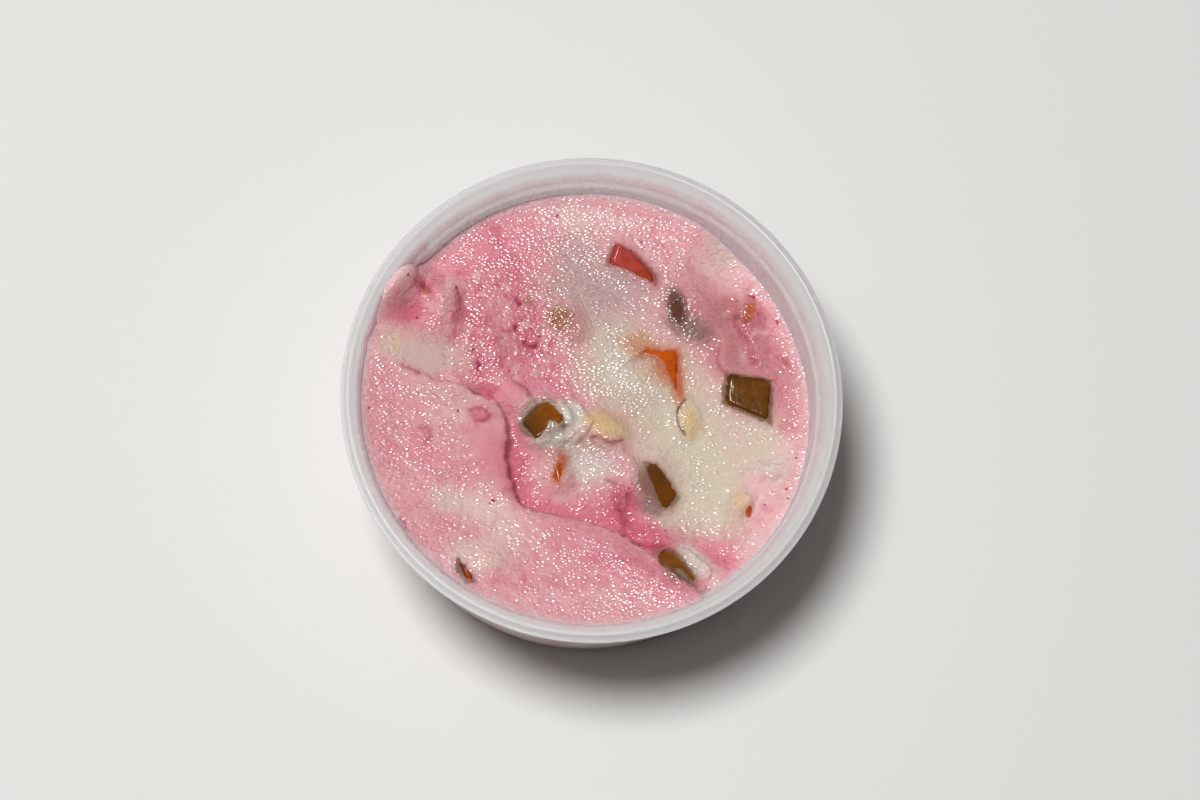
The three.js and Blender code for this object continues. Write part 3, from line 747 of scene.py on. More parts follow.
# What shows faintly from below or through a thin skin of cream, laid on after the dye.
SHADOWS = [
    (-7.2, -2.8, 6.8, 4.4, -20, "ivory", 0.9),
    (-7.4, -7.4, 4.4, 1.6, 4, "white", 0.8),
    (-9.6, -3.2, 5, 3.6, -25, "grey green", 0.35),
    (-3.4, -2.2, 2.6, 3, -20, "white", 0.9),
    (-6.2, 18.4, 3, 2.6, -30, "rust", 0.85),
    (-4.2, 17, 4.4, 3.6, -40, "tan", 0.4),
    (20, 17.3, 4.8, 2.6, -20, "ash", 0.9),
    (17.6, 21.6, 2, 4, 10, "umber", 0.9),
    (15.6, 8.8, 3.4, 3, -70, "orange", 0.7),
    (12, 9, 5, 3.6, -20, "apricot", 0.35),
    (9.8, 13.6, 4.2, 2.6, -8, "apricot", 0.7),
    (-6.4, 18.6, 2, 1.8, -30, "rust", 0.5),
    (8, -14.4, 2, 3, 20, "blush", 0.4),
    (17.6, 4, 1.6, 3.4, 5, "apricot", 0.6),
    (11.8, -16, 2.8, 4.6, 25, "olive", 0.75),
    (12.4, -20.4, 2.6, 1.6, -20, "ash", 0.8),
    (17.4, -33.9, 2.8, 4.2, 48, "olive", 1),
    (19.4, -34.6, 2, 2.6, 48, "ash", 0.8),
    (21.2, -31.6, 5.6, 2.4, -46, "white", 0.85),
    (2.6, -3.6, 4.8, 2.7, -20, "yellow", 0.8),
    (20.2, -2.2, 2.2, 3.6, 10, "yellow", 0.8),
    (32.4, 20.8, 1.3, 2.8, -25, "orange", 0.95),
    (32.2, 22, 2.4, 3.4, -25, "red", 0.3),
    (30.4, -19.2, 2, 2.2, 40, "yellow", 0.6),
    (24.6, -34, 2.2, 1.6, 40, "blush", 0.6),
    (-39.6, 10.8, 2.4, 1.6, 60, "yellow", 0.35),
    (-21.4, -32.6, 2.4, 3, 20, "yellow", 0.2),
    (-6.4, -13, 1.2, 3.2, -10, "orange", 0.5),
    (-7.6, -9, 4, 2.6, -20, "grey green", 0.25),
    (8.6, 30, 4.6, 2, -40, "tan", 0.4),
    (-12.3, 22, 1.6, 1.4, 0, "rust", 0.5),
]

# Thin lines of another colour, such as the edges of nuts: points, width, colour, share.
PAINTED_LINES = [
    ([(19.2, 2.4), (18, 0.8), (17.6, -1), (17.9, -3), (19.2, -5)], 0.3, "umber", 0.8),
    ([(0.2, -6.4), (1.6, -6.2), (3, -7.2), (4.6, -7.6), (6.4, -6.7)], 0.3, "rust", 0.8),
    ([(-9.8, 1), (-8.4, 1.2), (-7, 0.6)], 0.3, "rust", 0.7),
    ([(-6, 0.8), (-4.8, -1), (-3.8, -3.6)], 0.7, "white", 0.4),
    ([(-35.2, 28), (-35.1, 26), (-35.5, 24)], 0.3, "rust", 0.3),
    ([(-34.2, 24), (-33.6, 23.4), (-33, 22.6)], 0.5, "rust", 0.8),
    ([(31.4, 18.8), (32, 15), (33.3, 10.5)], 0.4, "deep", 0.6),
    ([(32.5, 25), (33.4, 24.4)], 0.35, "crimson", 0.8),
    ([(38.2, 19.6), (38.7, 19.2)], 0.3, "crimson", 0.8),
    ([(40.3, 11.6), (41, 10)], 0.35, "tan", 0.6),
    ([(-40.5, 10.6), (-39.2, 8.4), (-37, 6.9)], 0.3, "pale", 0.8),
    ([(2, 28.6), (6, 29.2), (9, 27.6)], 0.35, "lilac", 0.6),
    ([(-2, 43.4), (4, 42.4), (12, 40.6), (16, 40)], 0.5, "rose", 0.8),
]

# Where the food is more granular and wet than elsewhere, or smoother.
GRAIN_BASE = 0.5
GRAINS = [
    (-22, 20, 16, 14, -50, 0.5),
    (-6, 33, 12, 9, 0, 0.45),
    (3, 3, 11, 9, 60, 0.5),
    (-43, -5, 4, 18, 0, 0.5),
    (-31, -29, 10, 7, -40, 0.5),
    (14, 33, 12, 6, -20, 0.3),
    (34, 18, 6, 8, 0, 0.3),
    (12, -35, 12, 5, -30, 0.4),
    (0, -42, 20, 3, 0, 0.3),
    (21, 19, 4.6, 3.6, -45, 0.7),
    (11.5, -16.6, 3, 4.4, 20, 0.9),
    (17.4, -33.8, 2.4, 4.4, 48, 0.9),
    (-9, -4, 4, 3, -20, 0.4),
    (-33, 10, 9, 4, -10, -0.4),
    (29, -13, 7, 9, 0, -0.3),
    (-20, -9, 5, 6, 0, -0.35),
    (-8, -19, 8, 4, -20, -0.15),
    (36, -20, 5, 7, 0, -0.2),
    (28, 10, 4, 5, 0, -0.3),
    (-16, 3, 4, 3, 0, -0.4),
    (-36, 18, 5, 3, 0, -0.4),
    (-24, -4, 8, 5, 0, -0.2),
    (-7, 17.5, 4, 4, 0, 0.4),
    (17.4, 22, 2.4, 4, 10, 0.6),
    (16.4, -32, 2.4, 4, 48, 0.4),
    (-24, -22, 9, 4, -20, -0.2),
]

# Layers of noise: strength, how wide the bumps are, seed. The first three push along X and along Y.
EDGE_FRAYS = ((0.45, 1.7, 11), (0.15, 0.7, 13)), ((0.45, 1.7, 12), (0.15, 0.7, 14))
SKIN_FRAYS = ((0.25, 1.1, 42),), ((0.25, 1.1, 43),)
DYE_DRIFTS = ((1.5, 4.5, 21), (0.6, 1.6, 22)), ((1.5, 4.5, 23), (0.6, 1.6, 24))
GRAIN_PATCHES = (0.5, 3.4, 31), (0.3, 1.5, 35)
SWELLS = ((0.06, 2.6, 34),)
GRAIN_SWELLS = ((0.03, 1.3, 32),)
SKIN_SWELLS = ((0.5, 1.2, 41),)
PILLOWS = (1, 2.6, 44), (0.6, 1.3, 45)
PILLOW_LEVEL = 0.5

# Blotches of dye: colour, share, how wide, seed, and the noise at which they start and are full.
BLOTCHES = [
    ("deep", 0.6, 2.4, 51, 0.1, 0.7),
    ("pale", 0.5, 2, 52, 0.15, 0.7),
    ("deep", 0.5, 0.9, 53, 0.35, 0.8),
]
# The dye on and beside the furrows: colour, share, which side.
FURROW_STAINS = [("pale", 0.5, 1), ("pink", 0.4, -1)]
# The dye and painted shade in the creases: colour, share, how many times as wide as the crease.
CREASE_DYE_AND_SHADE = [("deep", 0.8, 2.2), ("crimson", 1, 1)]
# The dye and painted shade in the trench below the lobe's edge: colour, share, distance from the fold,
# width.
TRENCH_DYE_AND_SHADE = [("crimson", 0.25, 0.4, 0.6), ("deep", 0.6, 1.6, 1.8)]
# How strong the stain is round a bare spot and along the wall, and how far it reaches there.
RIM_STAIN = 0.85
WALL_STAIN_REACH = 1.3
# How wide a tear's step is, and over what length it runs out at its ends.
TEAR_WIDTH = 0.4
TEAR_TAPER = 1.5


def soft_step(value, low, high):
    """0 below the low value, 1 above the high one, and smooth between them."""
    share = np.clip((value - low) / (high - low), 0, 1)
    return share * share * (3 - 2 * share)


def fade(distance, width, power=2):
    """1 at no distance, falling smoothly to 0 past the width."""
    return np.exp(-((abs(distance) / width) ** power))


def gradient_noise(x, y, cell, seed):
    """Smooth noise from about -1 to 1, whose bumps are about one cell across."""
    turn = np.random.default_rng(seed).uniform(0, 2 * np.pi, (256, 256))
    u, v = np.floor(x / cell).astype(int), np.floor(y / cell).astype(int)
    total = np.zeros(np.shape(x))
    for corner_u, corner_v in ((u, v), (u + 1, v), (u, v + 1), (u + 1, v + 1)):
        du, dv = x / cell - corner_u, y / cell - corner_v
        angle = turn[corner_u % 256, corner_v % 256]
        pull = np.cos(angle) * du + np.sin(angle) * dv
        total += pull * soft_step(1 - abs(du), 0, 1) * soft_step(1 - abs(dv), 0, 1)
    return 1.5 * total


def layered(x, y, layers):
    """Layers of noise added up."""
    return sum(strength * gradient_noise(x, y, cell, seed) for strength, cell, seed in layers)


def pushed(x, y, layers_x, layers_y):
    """A place pushed about by noise."""
    return x + layered(x, y, layers_x), y + layered(x, y, layers_y)


def patch(x, y, middle_x, middle_y, along, across, turn, power=1.0):
    """1 in the middle of a long round patch, falling to 0 outside it."""
    c, s = math.cos(math.radians(turn)), math.sin(math.radians(turn))
    u = ((x - middle_x) * c + (y - middle_y) * s) / along
    v = ((y - middle_y) * c - (x - middle_x) * s) / across
    return np.exp(-((u * u + v * v) ** power))


def line_distance(x, y, points):
    """Distance from a line of points, positive on its right-hand side."""
    nearest = np.full(np.shape(x), np.inf)
    side = np.ones(np.shape(x))
    for (ax, ay), (bx, by) in zip(points, points[1:]):
        dx, dy = bx - ax, by - ay
        share = np.clip(((x - ax) * dx + (y - ay) * dy) / (dx * dx + dy * dy), 0, 1)
        away = np.hypot(x - ax - share * dx, y - ay - share * dy)
        right = np.where(dx * (y - ay) - dy * (x - ax) < 0, 1, -1)
        side = np.where(away < nearest, right, side)
        nearest = np.minimum(away, nearest)
    return nearest * side


def depth_inside(x, y, corners):
    """Distance from the edge of a many-sided outline, positive inside it."""
    inside = np.zeros(np.shape(x), bool)
    loop = [*corners, corners[0]]
    for (ax, ay), (bx, by) in zip(loop, loop[1:]):
        crossed = (ay > y) != (by > y)
        inside ^= crossed & (x < ax + (y - ay) * (bx - ax) / (by - ay + 1e-12))
    return np.where(inside, 1, -1) * abs(line_distance(x, y, loop))


def smooth_line(points, steps=4):
    """The points joined by a smooth curve, with this many steps between two of them."""
    ends = [2 * np.array(points[0]) - points[1], 2 * np.array(points[-1]) - points[-2]]
    line = np.vstack([ends[0], points, ends[1]])
    share = np.linspace(0, 1, steps, endpoint=False)[:, None]
    spans = []
    for a, b, c, d in zip(line, line[1:], line[2:], line[3:]):
        bend = (2 * a - 5 * b + 4 * c - d) * share**2 + (3 * b - a - 3 * c + d) * share**3
        spans.append((2 * b + (c - a) * share + bend) / 2)
    return np.vstack([*spans, points[-1]])


INNER_WALL = np.array([
    (FLOOR_HEIGHT + 1.4, BASE_RADIUS - WALL),
    (SHOULDER_HEIGHT, SHOULDER_RADIUS - WALL),
    (LEDGE_HEIGHT - 0.35, LEDGE_RADIUS - WALL - 0.45),
    (LEDGE_HEIGHT, LEDGE_RADIUS - WALL + 0.3),
    (LEDGE_HEIGHT + 1.3, LEDGE_RADIUS - WALL + 0.5),
    (MOUTH_HEIGHT, MOUTH_RADIUS),
])


def inner_radius(height):
    return np.interp(height, INNER_WALL[:, 0], INNER_WALL[:, 1])


def wall_level(angle):
    degrees = np.degrees(angle) % 360
    step = np.searchsorted(WALL_LEVELS[:, 0], degrees, side="right").clip(1, len(WALL_LEVELS) - 1)
    (low, high) = (WALL_LEVELS[step - 1], WALL_LEVELS[step])
    share = soft_step(degrees, low[..., 0], high[..., 0])
    return low[..., 1] + (high[..., 1] - low[..., 1]) * share


fold_line = smooth_line(FOLD, steps=8)


def top_height(x, y):
    """The uneven top of the food, without its dice and its finest grain."""
    reach = np.hypot(x, y) / inner_radius(PLAIN_LEVEL)
    plain = PLAIN_LEVEL - FALL_TO_RIGHT * x + RISE_TO_BACK * y
    edge = soft_step(reach, BEND_FROM, 1)
    top = plain + (wall_level(np.arctan2(y, x)) - plain) * edge
    frayed_x, frayed_y = pushed(x, y, *EDGE_FRAYS)
    fold = line_distance(frayed_x, frayed_y, fold_line)
    trench = fade(fold + TRENCH_WIDTH / 2, TRENCH_WIDTH)
    low = top - TRENCH_DEPTH * soft_step(LOBE_LEVEL - top, *WELL_ABOVE) * trench
    lobe = LOBE_LEVEL + LOBE_RISE * edge * edge
    lip = 1 - LIP_DROP * np.exp(-np.maximum(fold, 0) / LIP_ROUND)
    half_width = FOLD_WIDTH / 2 + END_SPREAD * patch(x, y, *FOLD_END)
    top = low + (lobe - low) * lip * soft_step(fold, -half_width, half_width)
    for *spot, rise in HILLS.values():
        top += rise * patch(x, y, *spot)
    for points, step, back in TORN_EDGES.values():
        line = smooth_line(points)
        away = line_distance(frayed_x, frayed_y, line) * np.sign(step)
        to_ends = [np.hypot(frayed_x - end[0], frayed_y - end[1]) for end in (line[0], line[-1])]
        taper = soft_step(np.minimum(*to_ends), 0, TEAR_TAPER)
        rise = soft_step(away, -TEAR_WIDTH / 2, TEAR_WIDTH / 2) * fade(np.maximum(away, 0), back)
        top += abs(step) * rise * taper
    for points, width, depth, _ in CREASES.values():
        top -= depth * fade(line_distance(frayed_x, frayed_y, smooth_line(points)), width)
    return top


def tops_of(pieces, x, y):
    """Height of the highest piece under each point, with a low number where there is none."""
    tops = np.full(x.shape, -1.0)
    for piece in pieces:
        corners = np.array([corner[:] for corner in piece.bound_box]) / MM
        near = (x > corners[:, 0].min()) & (x < corners[:, 0].max())
        near &= (y > corners[:, 1].min()) & (y < corners[:, 1].max())
        tree = BVHTree.FromObject(piece, bpy.context.evaluated_depsgraph_get())
        for index in zip(*np.nonzero(near)):
            above = Vector((x[index] * MM, y[index] * MM, TUB_HEIGHT * MM))
            hit = tree.ray_cast(above, Vector((0, 0, -1)))[0]
            if hit:
                tops[index] = max(tops[index], hit.z / MM)
    return tops


def widened(field, cells):
    for _ in range(cells):
        wide = np.pad(field, 1, mode="edge")
        field = np.maximum.reduce([wide[:-2, 1:-1], wide[2:, 1:-1], wide[1:-1, :-2], wide[1:-1, 2:], field])
    return field


def blurred(field, passes):
    for _ in range(passes):
        wide = np.pad(field, 1, mode="edge")
        field = (wide[:-2, 1:-1] + wide[2:, 1:-1] + wide[1:-1, :-2] + wide[1:-1, 2:]) / 8 + field / 2
    return field


def add_math(tree, operation, second=0.5):
    node = tree.nodes.new("ShaderNodeMath")
    node.operation = operation
    node.inputs[1].default_value = second
    return node


def keep_numbers(piece, name, numbers):
    """Keep a number at each vertex of a piece."""
    layer = piece.data.attributes.new(name, "FLOAT", "POINT")
    layer.data.foreach_set("value", numbers.ravel())


# The top starts as a flat grid that is rounded into a disc out to the wall. As the wall leans, its
# reach and the height of the food's edge are worked out from each other, three times over.
nothing_selected()
bpy.ops.mesh.primitive_grid_add(x_subdivisions=TOP_CELLS, y_subdivisions=TOP_CELLS, size=2)
shrikhand = bpy.context.object
flat = np.empty(3 * len(shrikhand.data.vertices))
shrikhand.data.vertices.foreach_get("co", flat)
square = flat.reshape(TOP_CELLS + 1, TOP_CELLS + 1, 3)
disc_x = square[..., 0] * np.sqrt(1 - square[..., 1] ** 2 / 2)
disc_y = square[..., 1] * np.sqrt(1 - square[..., 0] ** 2 / 2)
turns = np.linspace(-math.pi, math.pi, 721)
reach = inner_radius(wall_level(turns))
for _ in range(3):
    edge_height = top_height(reach * np.cos(turns), reach * np.sin(turns)) + WALL_CLIMB
    reach = inner_radius(edge_height) + WALL_BITE
reach = np.interp(np.arctan2(disc_y, disc_x), turns, reach)
x, y = disc_x * reach, disc_y * reach
to_wall = reach - np.hypot(x, y)
z = top_height(x, y)

# Grain: where the food was pulled apart it is granular and wet, and elsewhere it is smooth.
grain = np.full(x.shape, GRAIN_BASE)
for *spot, amount in GRAINS:
    grain += amount * patch(x, y, *spot, power=1.5)
grain *= 0.9 + layered(x, y, GRAIN_PATCHES)
z += layered(x, y, SWELLS)
z += grain.clip(0, 1) * layered(x, y, GRAIN_SWELLS)

# Pillows: hills with creases between them, where the noise changes sign.
pillows = sum(strength * abs(gradient_noise(x, y, cell, seed)) for strength, cell, seed in PILLOWS)
for *spot, height in LUMPS:
    z += height * patch(x, y, *spot, power=2) * (pillows - PILLOW_LEVEL)

# The spatula left fine furrows along the lobe.
along = x * math.cos(FURROW_TURN) + y * math.sin(FURROW_TURN)
across = y * math.cos(FURROW_TURN) - x * math.sin(FURROW_TURN)
furrows = gradient_noise(along / FURROW_STRETCH, across, 1.3, 36)
fold_away = line_distance(x, y, fold_line)
furrowed = soft_step(fold_away, 0.5, 3) * soft_step(gradient_noise(x, y, 9, 38), -0.5, 0.5)
z += FURROW_DEPTH * furrowed * furrows

# The food climbs the wall where it wets it.
z += WALL_CLIMB * np.exp(-to_wall / CLIMB_REACH)

# A thin skin of food lies over the dice, apart from the windows where they are bare.
frayed_x, frayed_y = pushed(x, y, *SKIN_FRAYS)
insides = {window: depth_inside(frayed_x, frayed_y, WINDOWS[window]) for window in WINDOWS}
bare = np.maximum.reduce(list(insides.values()))
tops = tops_of(fruit.values(), x, y)
over = tops > 0
skin = LEAST_SKIN + SKIN * (1 + layered(x, y, SKIN_SWELLS)) * soft_step(-bare, 0, SKIN_SLOPE)
raised = widened(np.where(over, (tops + skin - z).clip(0, MOST_LIFT), 0), SKIN_CELLS)
z += blurred(raised, SKIN_CELLS * SKIN_CELLS)
z = np.where(over, np.maximum(z, tops + skin / 2), z)
flat_top = over & (tops > widened(tops, FLAT_CELLS) - FLAT_WITHIN)
sunk = np.where(flat_top, np.minimum(z, tops - BARE_DEPTH), z)
z = z + (sunk - z) * soft_step(bare, *WINDOW_EDGE)
grain *= BARE_GRAIN + (1 - BARE_GRAIN) * soft_step(-bare, 0, 0.5)
grain = grain.clip(LEAST_GRAIN, 1)

# Dye, painted on dab by dab through a drift that frays the edges of the dabs.
drift_x, drift_y = pushed(x, y, *DYE_DRIFTS)
dye_and_shade = np.tile(linear(CREAM_COLOURS["rose"]), (*x.shape, 1))


def lay(colour, cover):
    """Paint a colour over the food's colours, dye and painted shade alike, where it covers it."""
    dye_and_shade[:] += (linear(CREAM_COLOURS[colour]) - dye_and_shade) * cover.clip(0, 1)[..., None]


for *spot, colour, share in DABS:
    lay(colour, share * patch(drift_x, drift_y, *spot, power=1.5))
blots = [
    (colour, share * soft_step(gradient_noise(x, y, cell, seed), start, full))
    for colour, share, cell, seed, start, full in BLOTCHES
]
for *spot, share in MOTTLED:
    cover = share * patch(x, y, *spot, power=2)
    for colour, blot in blots:
        lay(colour, cover * blot)
for colour, share, side in FURROW_STAINS:
    lay(colour, share * furrowed * soft_step(side * furrows, 0.1, 0.8))
# The creases are darkened with deep pink and crimson: partly dye, partly painted shade.
for points, width, _, crimson in CREASES.values():
    away = line_distance(frayed_x, frayed_y, smooth_line(points))
    for colour, share, wider in CREASE_DYE_AND_SHADE:
        lay(colour, share * crimson * fade(away, wider * width))
# Down the trench below the lobe's edge, crimson and deep pink: partly dye, partly painted shade.
steep = soft_step(LOBE_LEVEL - z, 1, 4)
for colour, share, before, width in TRENCH_DYE_AND_SHADE:
    lay(colour, share * steep * fade(fold_away + before, width))
for *spot, colour, share in SHADOWS:
    lay(colour, share * patch(frayed_x, frayed_y, *spot, power=2))
for points, width, colour, share in PAINTED_LINES:
    away = line_distance(frayed_x, frayed_y, smooth_line(points))
    lay(colour, share * fade(away, width, power=4))
for (_, colour, spread), inside in insides.items():
    lay(colour, RIM_STAIN * np.exp(inside.clip(None, 0) / spread))
lay("film", RIM_STAIN * fade(to_wall, WALL_STAIN_REACH, power=1.5))

shaped = np.stack([x, y, z], axis=-1) * MM
shrikhand.data.vertices.foreach_set("co", shaped.ravel())
# The food's colours, its dye together with the painted shade of its creases and trench, kept as one
# attribute.
keep_colours(shrikhand, "dye_and_shade", dye_and_shade)
keep_numbers(shrikhand, "grain", grain)

# The side follows the wall down, past the ledge, to a rounded corner and a flat bottom: height, and
# how far it stands in from the wall. Each level lies at least a little below the one before it.
SIDE_LEVELS = (
    (LEDGE_HEIGHT + 1.3, 0), (LEDGE_HEIGHT, 0), (LEDGE_HEIGHT - 0.35, 0), (SHOULDER_HEIGHT, 0),
    (20, 0), (FLOOR_HEIGHT + 1.4, 0), (FLOOR_HEIGHT + 0.3, 1.2),
)
LEAST_DROP = 0.06
bpy.ops.object.mode_set(mode="EDIT")
bpy.ops.mesh.select_mode(type="EDGE")
bpy.ops.mesh.select_all(action="DESELECT")
bpy.ops.mesh.select_non_manifold()
for level, inset in SIDE_LEVELS:
    bpy.ops.mesh.extrude_region_move()
    bpy.ops.object.mode_set(mode="OBJECT")
    for vertex in shrikhand.data.vertices:
        if vertex.select:
            height = min(level, vertex.co.z / MM - LEAST_DROP)
            radius = (inner_radius(height) + WALL_BITE - inset) * MM
            scale = radius / math.hypot(vertex.co.x, vertex.co.y)
            vertex.co = (vertex.co.x * scale, vertex.co.y * scale, height * MM)
    bpy.ops.object.mode_set(mode="EDIT")
bpy.ops.mesh.edge_face_add()
turn_faces_out()
bpy.ops.object.shade_smooth_by_angle(angle=FOOD_SHARP)

cream, tree, shader = new_material(
    "shrikhand_cream",
    Subsurface_Weight=1,
    Subsurface_Radius=(1, 0.6, 0.5),
    Subsurface_Scale=0.8 * MM,
    Specular_IOR_Level=0.8,
)
painted = add_attribute(tree, "dye_and_shade")
wet = add_attribute(tree, "grain")
place = add_node(tree, "TexCoord")
drag = add_node(tree, "Mapping", Rotation=(0, 0, math.radians(50)), Scale=(0.75, 1, 1))
link(painted, "Color", shader, "Base Color")
link(place, "Object", drag, "Vector")

# Granules packed side by side in heaps, standing higher where the food is grainy.
granules = add_node(tree, "TexVoronoi", Scale=1750)
hollow = add_math(tree, "POWER", 1.5)
flip = add_math(tree, "MULTIPLY", -1)
uneven = add_node(tree, "TexNoise", Scale=1300, Detail=1)
heap = add_math(tree, "MULTIPLY_ADD", 0.2)
swell = add_node(tree, "MapRange", From_Max=0.4, To_Min=0.1)
rough = add_math(tree, "MULTIPLY")
relief = add_node(tree, "Bump", Strength=1, Distance=0.16 * MM)
link(drag, "Vector", granules, "Vector")
link(drag, "Vector", uneven, "Vector")
link(granules, "Distance", hollow, 0)
link(hollow, "Value", flip, 0)
link(uneven, "Fac", heap, 0)
link(flip, "Value", heap, 2)
link(wet, "Fac", swell, "Value")
link(heap, "Value", rough, 0)
link(swell, "Result", rough, 1)
link(rough, "Value", relief, "Height")
link(relief, "Normal", shader, "Normal")

# Granules drawn by lot are wet and glossy, more of them where the food is grainy.
lottery = add_node(tree, "SeparateColor")
drawn = add_math(tree, "SUBTRACT")
shiny = add_node(tree, "MapRange", From_Min=-0.05, From_Max=0.2, To_Min=0.85, To_Max=0.18)
link(granules, "Color", lottery, "Color")
link(wet, "Fac", drawn, 0)
link(lottery, "Red", drawn, 1)
link(drawn, "Value", shiny, "Value")
link(shiny, "Result", shader, "Roughness")
finish_piece(shrikhand, "shrikhand_food", cream, "cream", "shrikhand")

# ---- Dye crystals and crumbs -------------------------------------------------------------------
# Grains of dye up to 1.2 mm long that did not dissolve, half sunk in the food, and two crumbs of
# orange papaya 2 to 3 mm long at the front.

# Where each lies, and its size: x, y, half its width before it is shaped.
DYE_CRYSTALS = [
    (-7, 40.3, 0.3), (-26.7, -2.3, 0.28), (-19.5, -20.3, 0.35), (-20.1, -20.9, 0.2),
    (-44.4, -2.3, 0.25), (33.4, 24.6, 0.4), (38.4, 19.4, 0.35), (7.8, -16.8, 0.25),
    (7.3, -17.6, 0.22), (8.3, -16.1, 0.2), (5.8, -20.6, 0.25), (-37, 25, 0.3),
    (-27.4, 23.8, 0.3), (-35.1, 17.2, 0.3), (-14.5, 21.4, 0.45), (-15.2, 16.3, 0.3),
    (-11.3, 12.7, 0.35), (-10.4, 14.7, 0.25), (-22.6, 8, 0.3), (-23.8, 11.2, 0.25),
    (-16.5, 7, 0.25), (39.6, -16, 0.25), (39.8, -18, 0.2), (35.2, -19.3, 0.2), (41.7, -9.5, 0.25),
    (34.2, 20.6, 0.22), (10.4, 35.2, 0.2), (-4.6, -26.4, 0.18), (15.2, -24.8, 0.2),
]
CRUMBS = {"front_crumb": (-24.1, -37, 0.85), "flap_crumb": (31.9, -20.6, 1.05)}
# How much longer, narrower and lower than a ball they are.
CRYSTAL_SHAPE = 1.3, 0.8, 0.7
CRUMB_SHAPE = 0.55, 1.25, 0.8
CRUMB_TURN = math.radians(-12)
CRUMB_TINTS = (150, 40, 14), (206, 84, 20), -60
# How far a lump's outline wanders, as a share of its size, and how wide the bumps are.
LUMP_WANDER = 0.25
LUMP_BUMPS = 0.9

food_tree = BVHTree.FromObject(shrikhand, bpy.context.evaluated_depsgraph_get())
chance = np.random.default_rng(71)


def pebble(name, place_x, place_y, size, shape, turn):
    """A small uneven lump, half sunk in the food's top."""
    above = Vector((place_x * MM, place_y * MM, TUB_HEIGHT * MM))
    top = food_tree.ray_cast(above, Vector((0, 0, -1)))[0]
    nothing_selected()
    bpy.ops.mesh.primitive_ico_sphere_add(subdivisions=3, radius=size * MM, location=top)
    made = bpy.context.object
    made.name = name
    made.scale = shape
    made.rotation_euler = (0, 0, turn)
    bpy.ops.object.transform_apply(location=True, rotation=True, scale=True)
    rocky = points_of(made)
    middle = rocky.mean(axis=0)
    noise = gradient_noise(rocky[:, 0] + rocky[:, 2], rocky[:, 1], LUMP_BUMPS * size, 72)
    swollen = 1 + LUMP_WANDER * noise
    rocky = middle + (rocky - middle) * swollen[:, None]
    made.data.vertices.foreach_set("co", (rocky * MM).ravel())
    bpy.ops.object.shade_smooth()
    return made


crystal_turns = chance.uniform(0, math.pi, len(DYE_CRYSTALS))
crystals = [
    pebble("crystal", *spot, CRYSTAL_SHAPE, turn) for spot, turn in zip(DYE_CRYSTALS, crystal_turns)
]
nothing_selected()
for crystal in crystals:
    crystal.select_set(True)
bpy.context.view_layer.objects.active = crystals[0]
bpy.ops.object.join()
dye_crystals, tree, shader = new_material(
    "dye_crystals", Base_Color=(0.42, 0.01, 0.07, 1), Roughness=0.35
)
finish_piece(crystals[0], "dye_crystals", dye_crystals, "cream")
for name, spot in CRUMBS.items():
    crumb = pebble(name, *spot, CRUMB_SHAPE, CRUMB_TURN)
    paint_tint(crumb, *CRUMB_TINTS)
    finish_piece(crumb, name, candied, "orange_fruit")

# ---- Film on the wall --------------------------------------------------------------------------
# Whey and dye dried on the inside of the wall above the food, 0.1 mm thick and thicker where it
# was wiped off the spatula at the left back. How far it covers the plastic is painted on.
FILM_AROUND = 360
FILM_ROWS = 26
FILM_LOW, FILM_HIGH = 29.5, 42.6
FILM_GAP = 0.04
FILM_THICKNESS = 0.1
# Angle from +X in degrees, and how much film there is.
FILM_AMOUNTS = (0, 30, 60, 75, 90, 135, 142, 157, 165, 200, 250, 300, 360), (
    0.1, 0.1, 0.25, 0.2, 0.15, 0.15, 0.7, 0.8, 0.5, 0.3, 0.15, 0.1, 0.1,
)
# The part of the film that is whitish: angle and height in its middle, half its length in degrees,
# half its height, turn.
WHITISH = 100, 36.5, 40, 2.6, 0
# Layers of noise: in how much film there is, and in the height of its edge.
FILM_WAVES = (1, 5, 61), (0.6, 1.8, 62)
FILM_EDGE = ((0.4, 4, 63),)
# Where the film ends below the lip, and how it thickens to a smear: by how much, the heights
# between which it comes up, and those between which it goes again.
FILM_ENDS = 41.2, 42.5
SMEAR = 0.7
SMEAR_COMES, SMEAR_GOES = (36, 39), (41, 42.4)
WHITE_WHEY, PINK_WHEY = (0.97, 0.94, 0.93), (0.98, 0.6, 0.68)

nothing_selected()
bpy.ops.mesh.primitive_grid_add(x_subdivisions=FILM_AROUND, y_subdivisions=FILM_ROWS, size=2)
wall_film = bpy.context.object
sheet = points_of(wall_film) * MM
turns = sheet[:, 0] * math.pi
height = FILM_LOW + (FILM_HIGH - FILM_LOW) * (sheet[:, 1] + 1) / 2
arc = turns * LEDGE_RADIUS
amount = np.interp(np.degrees(turns) % 360, *FILM_AMOUNTS)
wave = layered(arc, height, FILM_WAVES)
cover = amount * (0.6 + 0.4 * soft_step(wave, -0.5, 0.7))
cover *= 1 - soft_step(height + layered(arc, 0 * height, FILM_EDGE), *FILM_ENDS)
thick = SMEAR * soft_step(amount, 0.4, 0.8) * soft_step(wave, -0.2, 0.8)
thick *= soft_step(height, *SMEAR_COMES) * (1 - soft_step(height, *SMEAR_GOES))
radius = inner_radius(height) - FILM_GAP - thick
pinkness = 1 - patch(np.degrees(turns) % 360, height, *WHITISH, power=2)
coiled = np.stack([radius * np.cos(turns), radius * np.sin(turns), height], axis=-1) * MM
wall_film.data.vertices.foreach_set("co", coiled.ravel())
keep_numbers(wall_film, "cover", cover)
keep_numbers(wall_film, "pinkness", pinkness)
bpy.ops.object.mode_set(mode="EDIT")
bpy.ops.mesh.select_all(action="SELECT")
bpy.ops.mesh.remove_doubles(threshold=MERGED_WITHIN)
turn_faces_out()
bpy.ops.object.shade_smooth()
body = wall_film.modifiers.new("body", "SOLIDIFY")
body.thickness = FILM_THICKNESS * MM
body.offset = -1
apply_modifiers(wall_film)

